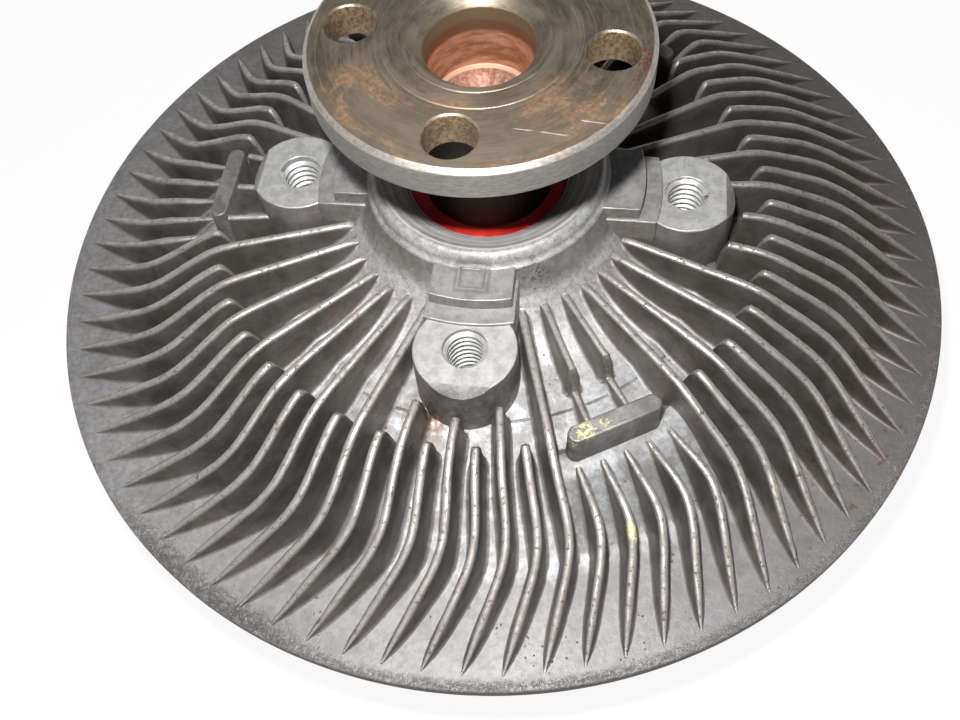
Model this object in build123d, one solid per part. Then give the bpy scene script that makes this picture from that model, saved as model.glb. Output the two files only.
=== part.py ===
from build123d import *
import os
from math import atan2, cos, radians, sin, tan

# A viscous fan clutch, in millimetres. Z runs along the shaft, from the front cover up to the drive flange.
# The origin is on the axis, in the plane that the front cover's fins stand on.

# Places along the axis
RIM_PLANE = 30.0  # height of the rear face of the housing's rim
HOUSING_WALL = 4.0
ROTOR_T = 3.2
LAND_H = 2.6
LAND_GAP = 0.8  # between a land and the wall that it faces
RUNNING_GAP = 0.6  # between the rotor and the walls beside it
CUP_DEPTH = 4.4  # from the cover's seat down to the chamber's floor
FLANGE_HEIGHT = 58.5  # from the rim plane, as the next one
BEARING_SHOULDER = 24.3
CHAMBER_CEILING = RIM_PLANE - HOUSING_WALL
ROTOR_TOP = CHAMBER_CEILING - LAND_GAP - LAND_H
ROTOR_BOTTOM = ROTOR_TOP - ROTOR_T
CHAMBER_FLOOR = ROTOR_BOTTOM - RUNNING_GAP
COVER_SEAT = CHAMBER_FLOOR + CUP_DEPTH
FLANGE_FACE = RIM_PLANE + FLANGE_HEIGHT
BEARING_TOP = RIM_PLANE + BEARING_SHOULDER

# Housing rim and floor, with heights from the rim plane
RIM_R = 92.1
RIM_EDGE = 2.4
RIM_CHAMFER = 0.4
RIM_OVERHANG = 1.8
FLOOR_FLAT_R = 71.5
FLOOR_RISE = 7.5
FLOOR_RISE_R = 56.0
FLOOR_LINE = 10.0
FLOOR_LINE_R = 46.3
HUB_SWEEP_R = 18.8  # radius of the concave sweep from floor to neck
HUB_SWEEP_CENTRE_R = 42.0
HUB_SWEEP_CENTRE = 30.0
HUB_SWEEP_START = 90.0  # degrees on the sweep where it leaves the floor, as the next one
HUB_SWEEP_END = 14.0

# Neck, with heights from the rim plane
NECK_R = 22.8
NECK_FOOT = 26.2
NECK_ROUND = 2.0
NECK_CREST = 28.7
NECK_CREST_R = 21.0
LIP_R = 15.3
LIP_EDGE_T = 0.6
NECK_STEP_R = 18.6
NECK_STEP = 0.25

# Cooling fins of the housing
FIN_PAIRS = 40  # each pair is one long fin and one short one
FIN_FIRST_TIP = -92.14
FIN_TIP_MARGIN = 2.7  # from the rim's edge to the fins' tips
FIN_TIP_LATERAL = -0.35
FIN_BEND_OUT = (71.8, 6.4)
FIN_BEND_IN = (67.0, 6.6)
FIN_STRAIGHT_END = (59.0, 5.4)
FIN_INNER_R = 23.5
FIN_INNER_LATERAL = 2.8
FIN_FOOT_W = 2.75
FIN_ROOT = 1.0
FIN_DRAFT = 1.5
FIN_POINT_L = 3.0
FIN_SHOULDER_R = 57.0
FIN_SHOULDER = 16.9
FIN_CREST_R = 53.0
FIN_CREST = 17.9
FIN_CREST_END = 18.6
SHORT_NOSE_R = 54.8
SHORT_NOSE = 17.5
SHORT_FOOT_R = 52.2

# Fan bosses and their pilot pads
BOSS_COUNT = 4
BOSS_FIRST = -99.6
FAN_PCD = 76.2
BOSS_R = 9.4
BOSS_DRAFT = 1.2
BOSS_FACE = 22.5
BOSS_CHAMFER_R = 45.6
BOSS_CHAMFER_W = 3.4
BOSS_CHAMFER_DROP = 2.0
FAN_THREAD_MINOR_R = 3.3
FAN_THREAD_DEPTH = 15.0
FAN_COUNTERSINK_R = 4.35
DRILL_POINT = 118.0
PILOT_R = 30.2
PAD_TOP = 25.7
PAD_HALF_W = 7.9
PAD_DRAFT = 1.5
LEDGE_R = 33.6
LEDGE_TOP = 23.1
LEDGE_HALF_W = 8.4

# Cast bars that stand across the fins
BAR_COUNT = 3
BAR_FIRST = -69.7
BAR_R = 54.4
BAR_LENGTH = 17.8
BAR_W = 3.4
BAR_TOP = 18.0
APRON_TOP = 10.8  # filled floor outside the first bar, level with the fins cut back there
APRON_EDGE_R = 58.8
APRON_EDGE = 10.2
APRON_CENTRE = -68.9
APRON_HALF_SPAN = 13.5
BAR_CLEAR_SLOPE = 1.2
BAR_CLEAR_IN = 43.0
BAR_STUB_TOP = 12.5
BAR_FIN_OFFSET = 4.5  # degrees from a fin's tip to where it passes the bars
BAR_FIN_REACH = 11.5

# Working chamber
SKIRT_WALL = 2.8
COVER_FIT = 0.1
COVER_SEAT_W = 3.9
LIP_ROLL_T = 1.8
LIP_ROLL_W = 2.4
LIP_ROLL_GAP = 0.7
COVER_RIM_T = 4.0
LAND_COUNT = 4
LAND_W = 2.2
LAND_AREA_W = 23.1  # from the chamber's wall to the first land's inner side
LAND_MARGIN = 0.4
CAVITY_HUB_R = 48.0
CAVITY_HUB_RISE = 6.0
CAVITY_NECK_R = 24.0
CAVITY_NECK_RISE = 9.2

# Bearing
BEARING_BORE_R = 8.5
BEARING_R = 20.0
BEARING_W = 16.0
BEARING_CHAMFER = 0.6
INNER_LAND_R = 12.3
OUTER_LAND_R = 16.8
BALL_COUNT = 8
BALL_R = 3.373
BALL_CIRCLE_R = 14.25
BALL_PLAY = 0.05
SEAL_T = 0.9
SEAL_INSET = 0.35
SEAL_GAP = 0.08
SEAL_BEAD = 0.4
CAGE_T = 1.8
CAGE_H = 10.0
CAGE_POCKET_GAP = 0.15
SNAP_RING_T = 1.4
SNAP_RING_DEPTH = 1.1
SNAP_RING_IN = 1.7
SNAP_RING_MOUTH = 9.0

# Shaft with its drive flange
FLANGE_R = 29.35
FLANGE_T = 6.1
FLANGE_CHAMFER = 0.8
FLANGE_LOWER_CHAMFER = 0.4
FLANGE_PCD = 44.45
FLANGE_HOLES = 4
FLANGE_HOLE_FIRST = -14.6
FLANGE_HOLE_R = 4.45
FLANGE_HOLE_CHAMFER = 0.35
PILOT_BORE_R = 9.53
PILOT_BORE_CHAMFER = 2.1
PILOT_BORE_DEPTH = 12.2
PILOT_LEDGE_W = 0.45
FACE_RING_RS = (12.9, 16.4)
FACE_RING_W = 0.5
FACE_RING_DEPTH = 0.2
SHAFT_R = 12.4
SHAFT_FLARE_R = 17.5
SHAFT_FLARE_H = 7.0
SHAFT_COLLAR_R = 13.6
SHAFT_END_CHAMFER = 0.5
SHAFT_NECK_H = 9.0
ROTOR_SEAT_R = 8.0

# Rotor
ROTOR_EDGE_GAP = 3.5
ROTOR_HUB_R = 13.0
ROTOR_CONE_R = 40.0
ROTOR_CONE_H = 7.5
ROTOR_HOLES = 6
ROTOR_HOLE_R = 4.0
ROTOR_HOLE_CIRCLE_R = 50.0

# Front cover
COVER_PLATE_T = 3.6
RESERVOIR_R = 58.0
RESERVOIR_DEPTH = 9.0
RESERVOIR_WALL = 5.5
BULGE_T = 3.1
BULGE_CHAMFER = 1.5
PLATE_R = 66.0
PLATE_T = 1.2
COIL_WELL_R = 30.0
ARM_ROOM = 3.2
HUB_T = 3.9
HUB_TOP_R = 34.0
HUB_SLOPE = 2.0
COVER_FINS = 36
COVER_FIN_W = 2.4
COVER_FIN_DRAFT = 1.5
COVER_FIN_MARGIN = 0.5
COVER_FIN_FLAT_R = 68.0
COVER_FIN_END = 8.0
WELL_RING_T = 3.0
WELL_RING_BOTTOM = 1.5
VALVE_BOSS_R = 7.0
VALVE_BOSS_H = 1.5

# Cover seal
COVER_SEAL_W = 1.7
COVER_SEAL_H = 1.3
COVER_SEAL_CORNER = 0.35

# Pump plate and what it carries
PORT_COUNT = 2
PORT_R = 3.2
PORT_CIRCLE_R = 42.0
PLATE_SCREWS = 4
PLATE_SCREW_CIRCLE_R = 61.0
PLATE_SCREW_R = 1.5
PLATE_SCREW_HEAD_R = 2.6
PLATE_SCREW_L = 8.0
SCREW_SLOT_W = 0.7
WIPER_ANGLE = 45.0
WIPER_HALF_SPAN = 7.0
WIPER_FOOT_L = 10.5
WIPER_GAP = 0.5
WIPER_BASE_T = 1.0
WIPER_H = 5.6
WIPER_PIN_R = 1.1
WIPER_PIN_L = 2.6
WIPER_PIN_INSET = 7.0
WIPER_PIN_SPREAD = 4.0
WIPER_FIT = 0.1
RETURN_R = 0.8
RETURN_FLOOR_T = 0.5
RETURN_ANGLE = 54.0

# Valve and thermostat coil
VALVE_SHAFT_R = 3.2
VALVE_SHAFT_BOTTOM = 1.4
VALVE_FIT = 0.05
ARM_TOP_GAP = 0.3
ARM_OVERLAP = 1.6
ARM_T = 0.8
ARM_W = 9.0
ARM_HUB_R = 7.5
ARM_FLAT = 2.3
ARM_FIT = 0.05
CLIP_T = 0.6
CLIP_R = 5.6
CLIP_GROOVE_R = 2.5
CLIP_MOUTH = 3.6
O_RING_T = 1.4
O_RING_GROOVE_R = 2.1
O_RING_HEIGHT = 12.2
O_RING_SIDE_GAP = 0.1
O_RING_CORNER = 0.3
COIL_BOTTOM = 1.8
COIL_H = 5.4
COIL_T = 0.8
COIL_IN_R = 5.2
COIL_PITCH = 1.75
COIL_TURNS = 6
COIL_SIDE_GAP = 0.05
COIL_INNER_REACH = 2.6
COIL_END_R = 20.5
POST_CIRCLE_R = 20.0
POST_L = 5.0
POST_W = 7.0
POST_BOTTOM = 1.6

# Heights that follow from the sizes
BEARING_MIDDLE = BEARING_TOP - BEARING_W / 2
COVER_LEDGE = COVER_SEAT - COVER_RIM_T
LIP_BOTTOM = COVER_LEDGE - LIP_ROLL_T
COVER_BOTTOM = CHAMBER_FLOOR - COVER_PLATE_T
PLATE_SEAT = CHAMBER_FLOOR - PLATE_T
RESERVOIR_FLOOR = PLATE_SEAT - RESERVOIR_DEPTH
BULGE_BOTTOM = RESERVOIR_FLOOR - BULGE_T
BULGE_R = RESERVOIR_R + RESERVOIR_WALL
HUB_TOP = PLATE_SEAT - ARM_ROOM
WELL_CEILING = HUB_TOP - HUB_T
ARM_BOTTOM = PLATE_SEAT - ARM_TOP_GAP - ARM_T

# Radii that follow from the rim's
FIN_TIP_R = RIM_R - FIN_TIP_MARGIN
SKIRT_R = RIM_R - RIM_OVERHANG
COVER_RIM_R = SKIRT_R - SKIRT_WALL - COVER_FIT
LIP_ROLL_R = COVER_RIM_R - LIP_ROLL_W
CHAMBER_R = COVER_RIM_R - COVER_SEAT_W
COVER_SEAL_R = (CHAMBER_R + COVER_RIM_R) / 2
COVER_FIN_OUT = CHAMBER_R - COVER_FIN_MARGIN
LAND_FIRST_R = CHAMBER_R - LAND_AREA_W
CAVITY_SLOPE_R = LAND_FIRST_R - LAND_MARGIN
ROTOR_R = CHAMBER_R - ROTOR_EDGE_GAP
WIPER_IN_R = CHAMBER_R - WIPER_FOOT_L
WIPER_PIN_CIRCLE_R = CHAMBER_R - WIPER_PIN_INSET


def up(height):
    """Height above the rim plane as a height in the frame."""
    return RIM_PLANE + height


def turned(*corners):
    """A body turned from its (radius, height) corners."""
    return revolve(Plane.XZ * make_face(Polyline(*corners, close=True)), Axis.Z)


def tube(inner_r, outer_r, bottom, top):
    """A plain ring about the axis."""
    return Pos(0, 0, bottom) * extrude(Circle(outer_r) - Circle(inner_r), top - bottom)


def rod(radius, bottom, top):
    """A plain round bar on the axis."""
    return Pos(0, 0, bottom) * extrude(Circle(radius), top - bottom)


def around(count, first, shape):
    """Copies of a shape, evenly spaced about the axis."""
    return [Rot(0, 0, first + i * 360 / count) * shape for i in range(count)]


def band(path, half_width):
    """Corners of one edge of a band along a path of (x, y) points, mitred at its bends."""
    edge = []
    for i, here in enumerate(path):
        before = path[max(i - 1, 0)]
        after = path[min(i + 1, len(path) - 1)]
        angles = [atan2(q[1] - p[1], q[0] - p[0]) for p, q in ((before, here), (here, after)) if p != q]
        middle = sum(angles) / len(angles)
        reach = half_width / cos((angles[-1] - angles[0]) / 2)
        edge.append((here[0] - reach * sin(middle), here[1] + reach * cos(middle)))
    return edge


def sector(inner_r, outer_r, half_span, bottom, top):
    """A piece of a ring, centred on +X."""
    side = 2 * outer_r * tan(radians(half_span))
    wedge = make_face(Polyline((0, 0), (2 * outer_r, -side), (2 * outer_r, side), close=True))
    return Pos(0, 0, bottom) * extrude((Circle(outer_r) - Circle(inner_r)) & wedge, top - bottom)


def fin_blank():
    """One fin with both flanks drafted, higher than any crest, before its ends are shaped."""
    slope = (FIN_BEND_OUT[1] - FIN_TIP_LATERAL) / (FIN_TIP_R - FIN_BEND_OUT[0])
    shoulder = (FIN_TIP_R - FIN_POINT_L, FIN_TIP_LATERAL + FIN_POINT_L * slope)
    path = [(FIN_INNER_R, FIN_INNER_LATERAL), FIN_STRAIGHT_END, FIN_BEND_IN, FIN_BEND_OUT, shoulder]
    tip = (FIN_TIP_R, FIN_TIP_LATERAL)
    outline = band(path, -FIN_FOOT_W / 2) + [tip] + band(path, FIN_FOOT_W / 2)[::-1]
    plan = Pos(0, 0, up(-FIN_ROOT)) * make_face(Polyline(*outline, close=True))
    return extrude(plan, FIN_ROOT + FIN_CREST_END + 1, taper=FIN_DRAFT)


def fin(short):
    """A fin trimmed to the crest line. A short one ends in a steep nose, a long one runs into the hub."""
    foot = up(-FIN_ROOT)
    crest = [(FIN_TIP_R + 1, foot), (FIN_TIP_R + 1, up(0)), (FIN_TIP_R, up(0)), (FIN_SHOULDER_R, up(FIN_SHOULDER))]
    if short:
        crest += [(SHORT_NOSE_R, up(SHORT_NOSE)), (SHORT_FOOT_R, up(FLOOR_RISE)), (SHORT_FOOT_R, foot)]
    else:
        crest += [(FIN_CREST_R, up(FIN_CREST)), (FIN_INNER_R, up(FIN_CREST_END)), (FIN_INNER_R, foot)]
    return fin_blank() & turned(*crest)


def bar_clearance():
    """Room over the fins on both sides of the first bar. Outside the bar they end in its apron."""
    over = up(FIN_CREST_END + 2)
    outline = Polyline(
        (FLOOR_FLAT_R, up(APRON_TOP)),
        (FLOOR_FLAT_R, over),
        (BAR_CLEAR_IN - BAR_CLEAR_SLOPE, over),
        (BAR_CLEAR_IN, up(BAR_STUB_TOP)),
        (BAR_R - BAR_W, up(APRON_TOP)),
        close=True,
    )
    return Rot(0, 0, BAR_FIRST) * extrude(Plane.XZ * make_face(outline), BAR_LENGTH, both=True)


def bar_apron():
    """Filled floor outside the first bar, between the two long fins that pass its ends."""
    slope = turned(
        (BAR_R, up(-FIN_ROOT)),
        (BAR_R, up(APRON_TOP)),
        (APRON_EDGE_R, up(APRON_EDGE)),
        (FLOOR_FLAT_R, up(-FIN_ROOT)),
    )
    return Rot(0, 0, APRON_CENTRE) * (slope & sector(BAR_R - 1, RIM_R, APRON_HALF_SPAN, up(-FIN_ROOT), up(BAR_TOP)))


def housing_fins():
    """All cooling fins, short and long by turns. Those that meet the first bar are cut back from it."""
    pitch = 180 / FIN_PAIRS
    shapes = [fin(True), fin(False)]
    gap = bar_clearance()
    fins = []
    for k in range(2 * FIN_PAIRS):
        angle = FIN_FIRST_TIP + k * pitch
        placed = Rot(0, 0, angle) * shapes[k % 2]
        near_bar = abs(angle + BAR_FIN_OFFSET - BAR_FIRST) < BAR_FIN_REACH
        fins.append(placed - gap if near_bar else placed)
    return fins


def bar():
    """One round-ended bar, across the radius."""
    return Pos(BAR_R, 0, up(0)) * extrude(SlotOverall(BAR_LENGTH, BAR_W, rotation=90), BAR_TOP)


def drafted_block(reach, half_width, top):
    """A block from the neck outwards along +X, drafted at its sides and ended by a round wall about the axis."""
    foot = up(FLOOR_LINE)
    plan = Pos(LIP_R + reach / 2, 0, foot) * Rectangle(reach, 2 * half_width)
    return extrude(plan, up(top) - foot, taper=PAD_DRAFT) & rod(reach, foot, up(top + 1))


def boss_and_pad():
    """One fan boss along +X, with the pilot pad and the ledge between it and the neck."""
    foot_r = BOSS_R + BOSS_FACE * tan(radians(BOSS_DRAFT))
    boss = Pos(FAN_PCD / 2, 0, up(0)) * extrude(Circle(foot_r), BOSS_FACE, taper=BOSS_DRAFT)
    outer_r = BOSS_CHAMFER_R + BOSS_CHAMFER_W
    boss -= turned(
        (BOSS_CHAMFER_R, up(BOSS_FACE)),
        (outer_r, up(BOSS_FACE - BOSS_CHAMFER_DROP)),
        (outer_r, up(BOSS_FACE + 1)),
        (BOSS_CHAMFER_R, up(BOSS_FACE + 1)),
    )
    return boss + drafted_block(PILOT_R, PAD_HALF_W, PAD_TOP) + drafted_block(LEDGE_R, LEDGE_HALF_W, LEDGE_TOP)


def fan_hole():
    """Tapped hole of a fan boss, drawn at the thread's minor diameter, with its countersink and drill point."""
    top = up(BOSS_FACE)
    bottom = top - FAN_THREAD_DEPTH
    point = FAN_THREAD_MINOR_R / tan(radians(DRILL_POINT / 2))
    countersink = FAN_COUNTERSINK_R - FAN_THREAD_MINOR_R
    hole = turned(
        (0, top + 1),
        (FAN_COUNTERSINK_R, top + 1),
        (FAN_COUNTERSINK_R, top),
        (FAN_THREAD_MINOR_R, top - countersink),
        (FAN_THREAD_MINOR_R, bottom),
        (0, bottom - point),
    )
    return Pos(FAN_PCD / 2, 0, 0) * hole


def housing_outside():
    """Outer form of the casting without fins: rim, floor, hub sweep and neck, filled inside."""
    middle = (HUB_SWEEP_START + HUB_SWEEP_END) / 2
    ends = [radians(a) for a in (HUB_SWEEP_START, middle, HUB_SWEEP_END)]
    sweep = [
        (HUB_SWEEP_CENTRE_R - HUB_SWEEP_R * cos(a), up(HUB_SWEEP_CENTRE - HUB_SWEEP_R * sin(a))) for a in ends
    ]
    neck_side = (NECK_R, up(NECK_CREST) - NECK_ROUND)
    crest = (NECK_CREST_R, up(NECK_CREST))
    lip_edge = BEARING_TOP + LIP_EDGE_T
    mouth_slope = (crest[1] - lip_edge) / (NECK_CREST_R - LIP_R)
    step = lip_edge + mouth_slope * (NECK_STEP_R - LIP_R)
    lower = Polyline(
        (0, LIP_BOTTOM),
        (SKIRT_R, LIP_BOTTOM),
        (SKIRT_R, up(-RIM_EDGE)),
        (RIM_R, up(-RIM_EDGE)),
        (RIM_R, up(-RIM_CHAMFER)),
        (RIM_R - RIM_CHAMFER, up(0)),
        (FLOOR_FLAT_R, up(0)),
        (FLOOR_RISE_R, up(FLOOR_RISE)),
        (FLOOR_LINE_R, up(FLOOR_LINE)),
        sweep[0],
    )
    upper = Polyline(
        crest,
        (NECK_STEP_R, step),
        (NECK_STEP_R, step - NECK_STEP),
        (LIP_R, lip_edge),
        (0, lip_edge),
        (0, LIP_BOTTOM),
    )
    outline = lower + ThreePointArc(*sweep) + Polyline(sweep[2], (NECK_R, up(NECK_FOOT)), neck_side)
    outline += TangentArc(neck_side, crest, tangent=(0, 1))
    return revolve(Plane.XZ * make_face(outline + upper), Axis.Z)


def housing_inside():
    """All that is turned out of the casting: bearing seat, chamber, cover seat and the mouth in the rolled lip."""
    snap_top = BEARING_TOP - BEARING_W
    snap_bottom = snap_top - SNAP_RING_T
    neck_ceiling = CHAMBER_CEILING + CAVITY_NECK_RISE
    return turned(
        (0, up(NECK_CREST + 1)),
        (LIP_R, up(NECK_CREST + 1)),
        (LIP_R, BEARING_TOP),
        (BEARING_R, BEARING_TOP),
        (BEARING_R, snap_top),
        (BEARING_R + SNAP_RING_DEPTH, snap_top),
        (BEARING_R + SNAP_RING_DEPTH, snap_bottom),
        (BEARING_R, snap_bottom),
        (BEARING_R, neck_ceiling + BEARING_CHAMFER),
        (BEARING_R + BEARING_CHAMFER, neck_ceiling),
        (CAVITY_NECK_R, neck_ceiling),
        (CAVITY_HUB_R, CHAMBER_CEILING + CAVITY_HUB_RISE),
        (CAVITY_SLOPE_R, CHAMBER_CEILING),
        (CHAMBER_R, CHAMBER_CEILING),
        (CHAMBER_R, COVER_SEAT),
        (COVER_RIM_R + COVER_FIT, COVER_SEAT),
        (COVER_RIM_R + COVER_FIT, COVER_LEDGE),
        (LIP_ROLL_R, COVER_LEDGE),
        (LIP_ROLL_R, LIP_BOTTOM - 1),
        (0, LIP_BOTTOM - 1),
    )


def lip_rounding():
    """The rolled lip's outer corner, taken off in a slope."""
    size = LIP_ROLL_T
    return turned(
        (SKIRT_R - size, LIP_BOTTOM),
        (SKIRT_R, LIP_BOTTOM + size),
        (SKIRT_R + 1, LIP_BOTTOM + size),
        (SKIRT_R + 1, LIP_BOTTOM - 1),
        (SKIRT_R - size, LIP_BOTTOM - 1),
    )


def land_radius(index):
    """Inner radius of the housing's land with this number. The rotor's own lands run between them."""
    return LAND_FIRST_R + index * 2 * (LAND_W + RUNNING_GAP)


def rear_housing():
    """The finned casting."""
    body = housing_outside() + bar_apron() + housing_fins() + around(BAR_COUNT, BAR_FIRST, bar())
    body += around(BOSS_COUNT, BOSS_FIRST, boss_and_pad())
    body -= housing_inside() + lip_rounding()
    body -= around(BOSS_COUNT, BOSS_FIRST, fan_hole())
    lands = [land_radius(i) for i in range(LAND_COUNT)]
    return body + [tube(r, r + LAND_W, CHAMBER_CEILING - LAND_H, CHAMBER_CEILING + 0.5) for r in lands]


def clutch_disc():
    """The rotor: a turned disc whose ring lands run between the housing's."""
    hub_top = BEARING_TOP - BEARING_W
    disc = turned(
        (ROTOR_SEAT_R, ROTOR_BOTTOM),
        (ROTOR_R, ROTOR_BOTTOM),
        (ROTOR_R, ROTOR_TOP),
        (ROTOR_CONE_R, ROTOR_TOP),
        (ROTOR_HUB_R, ROTOR_TOP + ROTOR_CONE_H),
        (ROTOR_HUB_R, hub_top),
        (ROTOR_SEAT_R, hub_top),
    )
    lands = [land_radius(i) + LAND_W + RUNNING_GAP for i in range(LAND_COUNT - 1)]
    disc += [tube(r, r + LAND_W, ROTOR_TOP - 0.5, ROTOR_TOP + LAND_H) for r in lands]
    hole = Pos(ROTOR_HOLE_CIRCLE_R, 0, ROTOR_BOTTOM - 1) * extrude(Circle(ROTOR_HOLE_R), ROTOR_T + 2)
    return disc - around(ROTOR_HOLES, 0, hole)


def input_shaft():
    """Shaft and drive flange, turned from one forging, with the pilot bore and the four bolt holes."""
    seat_top = BEARING_TOP - BEARING_W
    flange_bottom = FLANGE_FACE - FLANGE_T
    bore_floor = FLANGE_FACE - PILOT_BORE_DEPTH
    ledge_r = PILOT_BORE_R - PILOT_LEDGE_W
    neck_top = BEARING_TOP + SHAFT_NECK_H
    shaft = turned(
        (0, ROTOR_BOTTOM),
        (ROTOR_SEAT_R - SHAFT_END_CHAMFER, ROTOR_BOTTOM),
        (ROTOR_SEAT_R, ROTOR_BOTTOM + SHAFT_END_CHAMFER),
        (ROTOR_SEAT_R, seat_top),
        (BEARING_BORE_R, seat_top),
        (BEARING_BORE_R, BEARING_TOP),
        (SHAFT_R, BEARING_TOP),
        (SHAFT_R, neck_top),
        (SHAFT_COLLAR_R, neck_top + (SHAFT_COLLAR_R - SHAFT_R)),
        (SHAFT_COLLAR_R, flange_bottom - SHAFT_FLARE_H),
        (SHAFT_FLARE_R, flange_bottom),
        (FLANGE_R - FLANGE_LOWER_CHAMFER, flange_bottom),
        (FLANGE_R, flange_bottom + FLANGE_LOWER_CHAMFER),
        (FLANGE_R, FLANGE_FACE - FLANGE_CHAMFER),
        (FLANGE_R - FLANGE_CHAMFER, FLANGE_FACE),
        (PILOT_BORE_R + PILOT_BORE_CHAMFER, FLANGE_FACE),
        (PILOT_BORE_R, FLANGE_FACE - PILOT_BORE_CHAMFER),
        (PILOT_BORE_R, bore_floor),
        (ledge_r, bore_floor),
        (0, bore_floor - ledge_r / tan(radians(DRILL_POINT / 2))),
    )
    for ring_r in FACE_RING_RS:
        shaft -= turned(
            (ring_r - FACE_RING_W / 2, FLANGE_FACE),
            (ring_r, FLANGE_FACE - FACE_RING_DEPTH),
            (ring_r + FACE_RING_W / 2, FLANGE_FACE),
        )
    hole = turned(
        (0, FLANGE_FACE + 1),
        (FLANGE_HOLE_R + FLANGE_HOLE_CHAMFER, FLANGE_FACE + 1),
        (FLANGE_HOLE_R + FLANGE_HOLE_CHAMFER, FLANGE_FACE),
        (FLANGE_HOLE_R, FLANGE_FACE - FLANGE_HOLE_CHAMFER),
        (FLANGE_HOLE_R, flange_bottom - 1),
        (0, flange_bottom - 1),
    )
    return shaft - around(FLANGE_HOLES, FLANGE_HOLE_FIRST, Pos(FLANGE_PCD / 2, 0, 0) * hole)


def race(bore_r, outer_r, seat_r):
    """A bearing ring with the ball groove and with chamfers on the side that is pressed to its seat."""
    ring = tube(bore_r, outer_r, BEARING_TOP - BEARING_W, BEARING_TOP)
    rims = ring.edges().filter_by(GeomType.CIRCLE)
    ring = chamfer([edge for edge in rims if abs(edge.radius - seat_r) < 0.01], BEARING_CHAMFER)
    return ring - Pos(0, 0, BEARING_MIDDLE) * Torus(BALL_CIRCLE_R, BALL_R + BALL_PLAY)


def bearing_balls():
    """The balls, all in one node."""
    return Compound(children=around(BALL_COUNT, 0, Pos(BALL_CIRCLE_R, 0, BEARING_MIDDLE) * Sphere(BALL_R)))


def bearing_cage():
    """Machined cage with one pocket for each ball."""
    ring = tube(BALL_CIRCLE_R - CAGE_T / 2, BALL_CIRCLE_R + CAGE_T / 2, -CAGE_H / 2, CAGE_H / 2)
    pocket = Pos(BALL_CIRCLE_R, 0, 0) * Rot(0, 90, 0) * Cylinder(BALL_R + CAGE_POCKET_GAP, 4 * CAGE_T)
    return Pos(0, 0, BEARING_MIDDLE) * (ring - around(BALL_COUNT, 0, pocket))


def bearing_seal(face, inward):
    """A ring seal between the two bearing rings, set in from their end face, with a stiffening bead inside."""
    top = face + inward * SEAL_INSET
    bottom = top + inward * SEAL_T
    inner_r = INNER_LAND_R + SEAL_GAP
    bead_r = (inner_r + OUTER_LAND_R) / 2
    return turned(
        (inner_r, top),
        (OUTER_LAND_R, top),
        (OUTER_LAND_R, bottom),
        (bead_r + SEAL_BEAD, bottom),
        (bead_r, bottom + inward * SEAL_BEAD),
        (bead_r - SEAL_BEAD, bottom),
        (inner_r, bottom),
    )


def bearing_snap_ring():
    """Open ring in the groove under the bearing."""
    top = BEARING_TOP - BEARING_W
    ring = tube(BEARING_R - SNAP_RING_IN, BEARING_R + SNAP_RING_DEPTH, top - SNAP_RING_T, top)
    mouth = Pos(BEARING_R, 0, top) * Box(4 * SNAP_RING_IN, SNAP_RING_MOUTH, 4 * SNAP_RING_T)
    return ring - mouth


def cover_fin():
    """One straight cooling fin of the cover, along +X. Its edge stands on the ground plane."""
    inner_r = COIL_WELL_R + 1
    top = COVER_BOTTOM + 0.5
    length = COVER_FIN_OUT - inner_r
    plan = Plane((inner_r + length / 2, 0, top), x_dir=(1, 0, 0), z_dir=(0, 0, -1)) * Rectangle(length, COVER_FIN_W)
    edge = turned(
        (inner_r, BULGE_BOTTOM + 0.5),
        (inner_r, WELL_RING_BOTTOM),
        (COIL_WELL_R + WELL_RING_T, 0),
        (COVER_FIN_FLAT_R, 0),
        (COVER_FIN_OUT, COVER_FIN_END),
        (COVER_FIN_OUT, top),
        (BULGE_R - 2, top),
        (BULGE_R - 2, BULGE_BOTTOM + 0.5),
    )
    return extrude(plan, top, taper=COVER_FIN_DRAFT) & edge


def cover_post():
    """Cast post that holds the coil's outer end, with the slot for it."""
    post = Pos(POST_CIRCLE_R, 0, POST_BOTTOM) * extrude(Rectangle(POST_L, POST_W), WELL_CEILING + 0.5 - POST_BOTTOM)
    slot_top = COIL_BOTTOM + COIL_H + COIL_SIDE_GAP
    slot_plan = Pos(POST_CIRCLE_R - POST_L / 2, COIL_T / 2) * Rectangle(
        2 * (COIL_END_R - POST_CIRCLE_R + POST_L / 2 + COIL_SIDE_GAP), COIL_T + 2 * COIL_SIDE_GAP
    )
    return post - extrude(slot_plan, slot_top)


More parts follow.
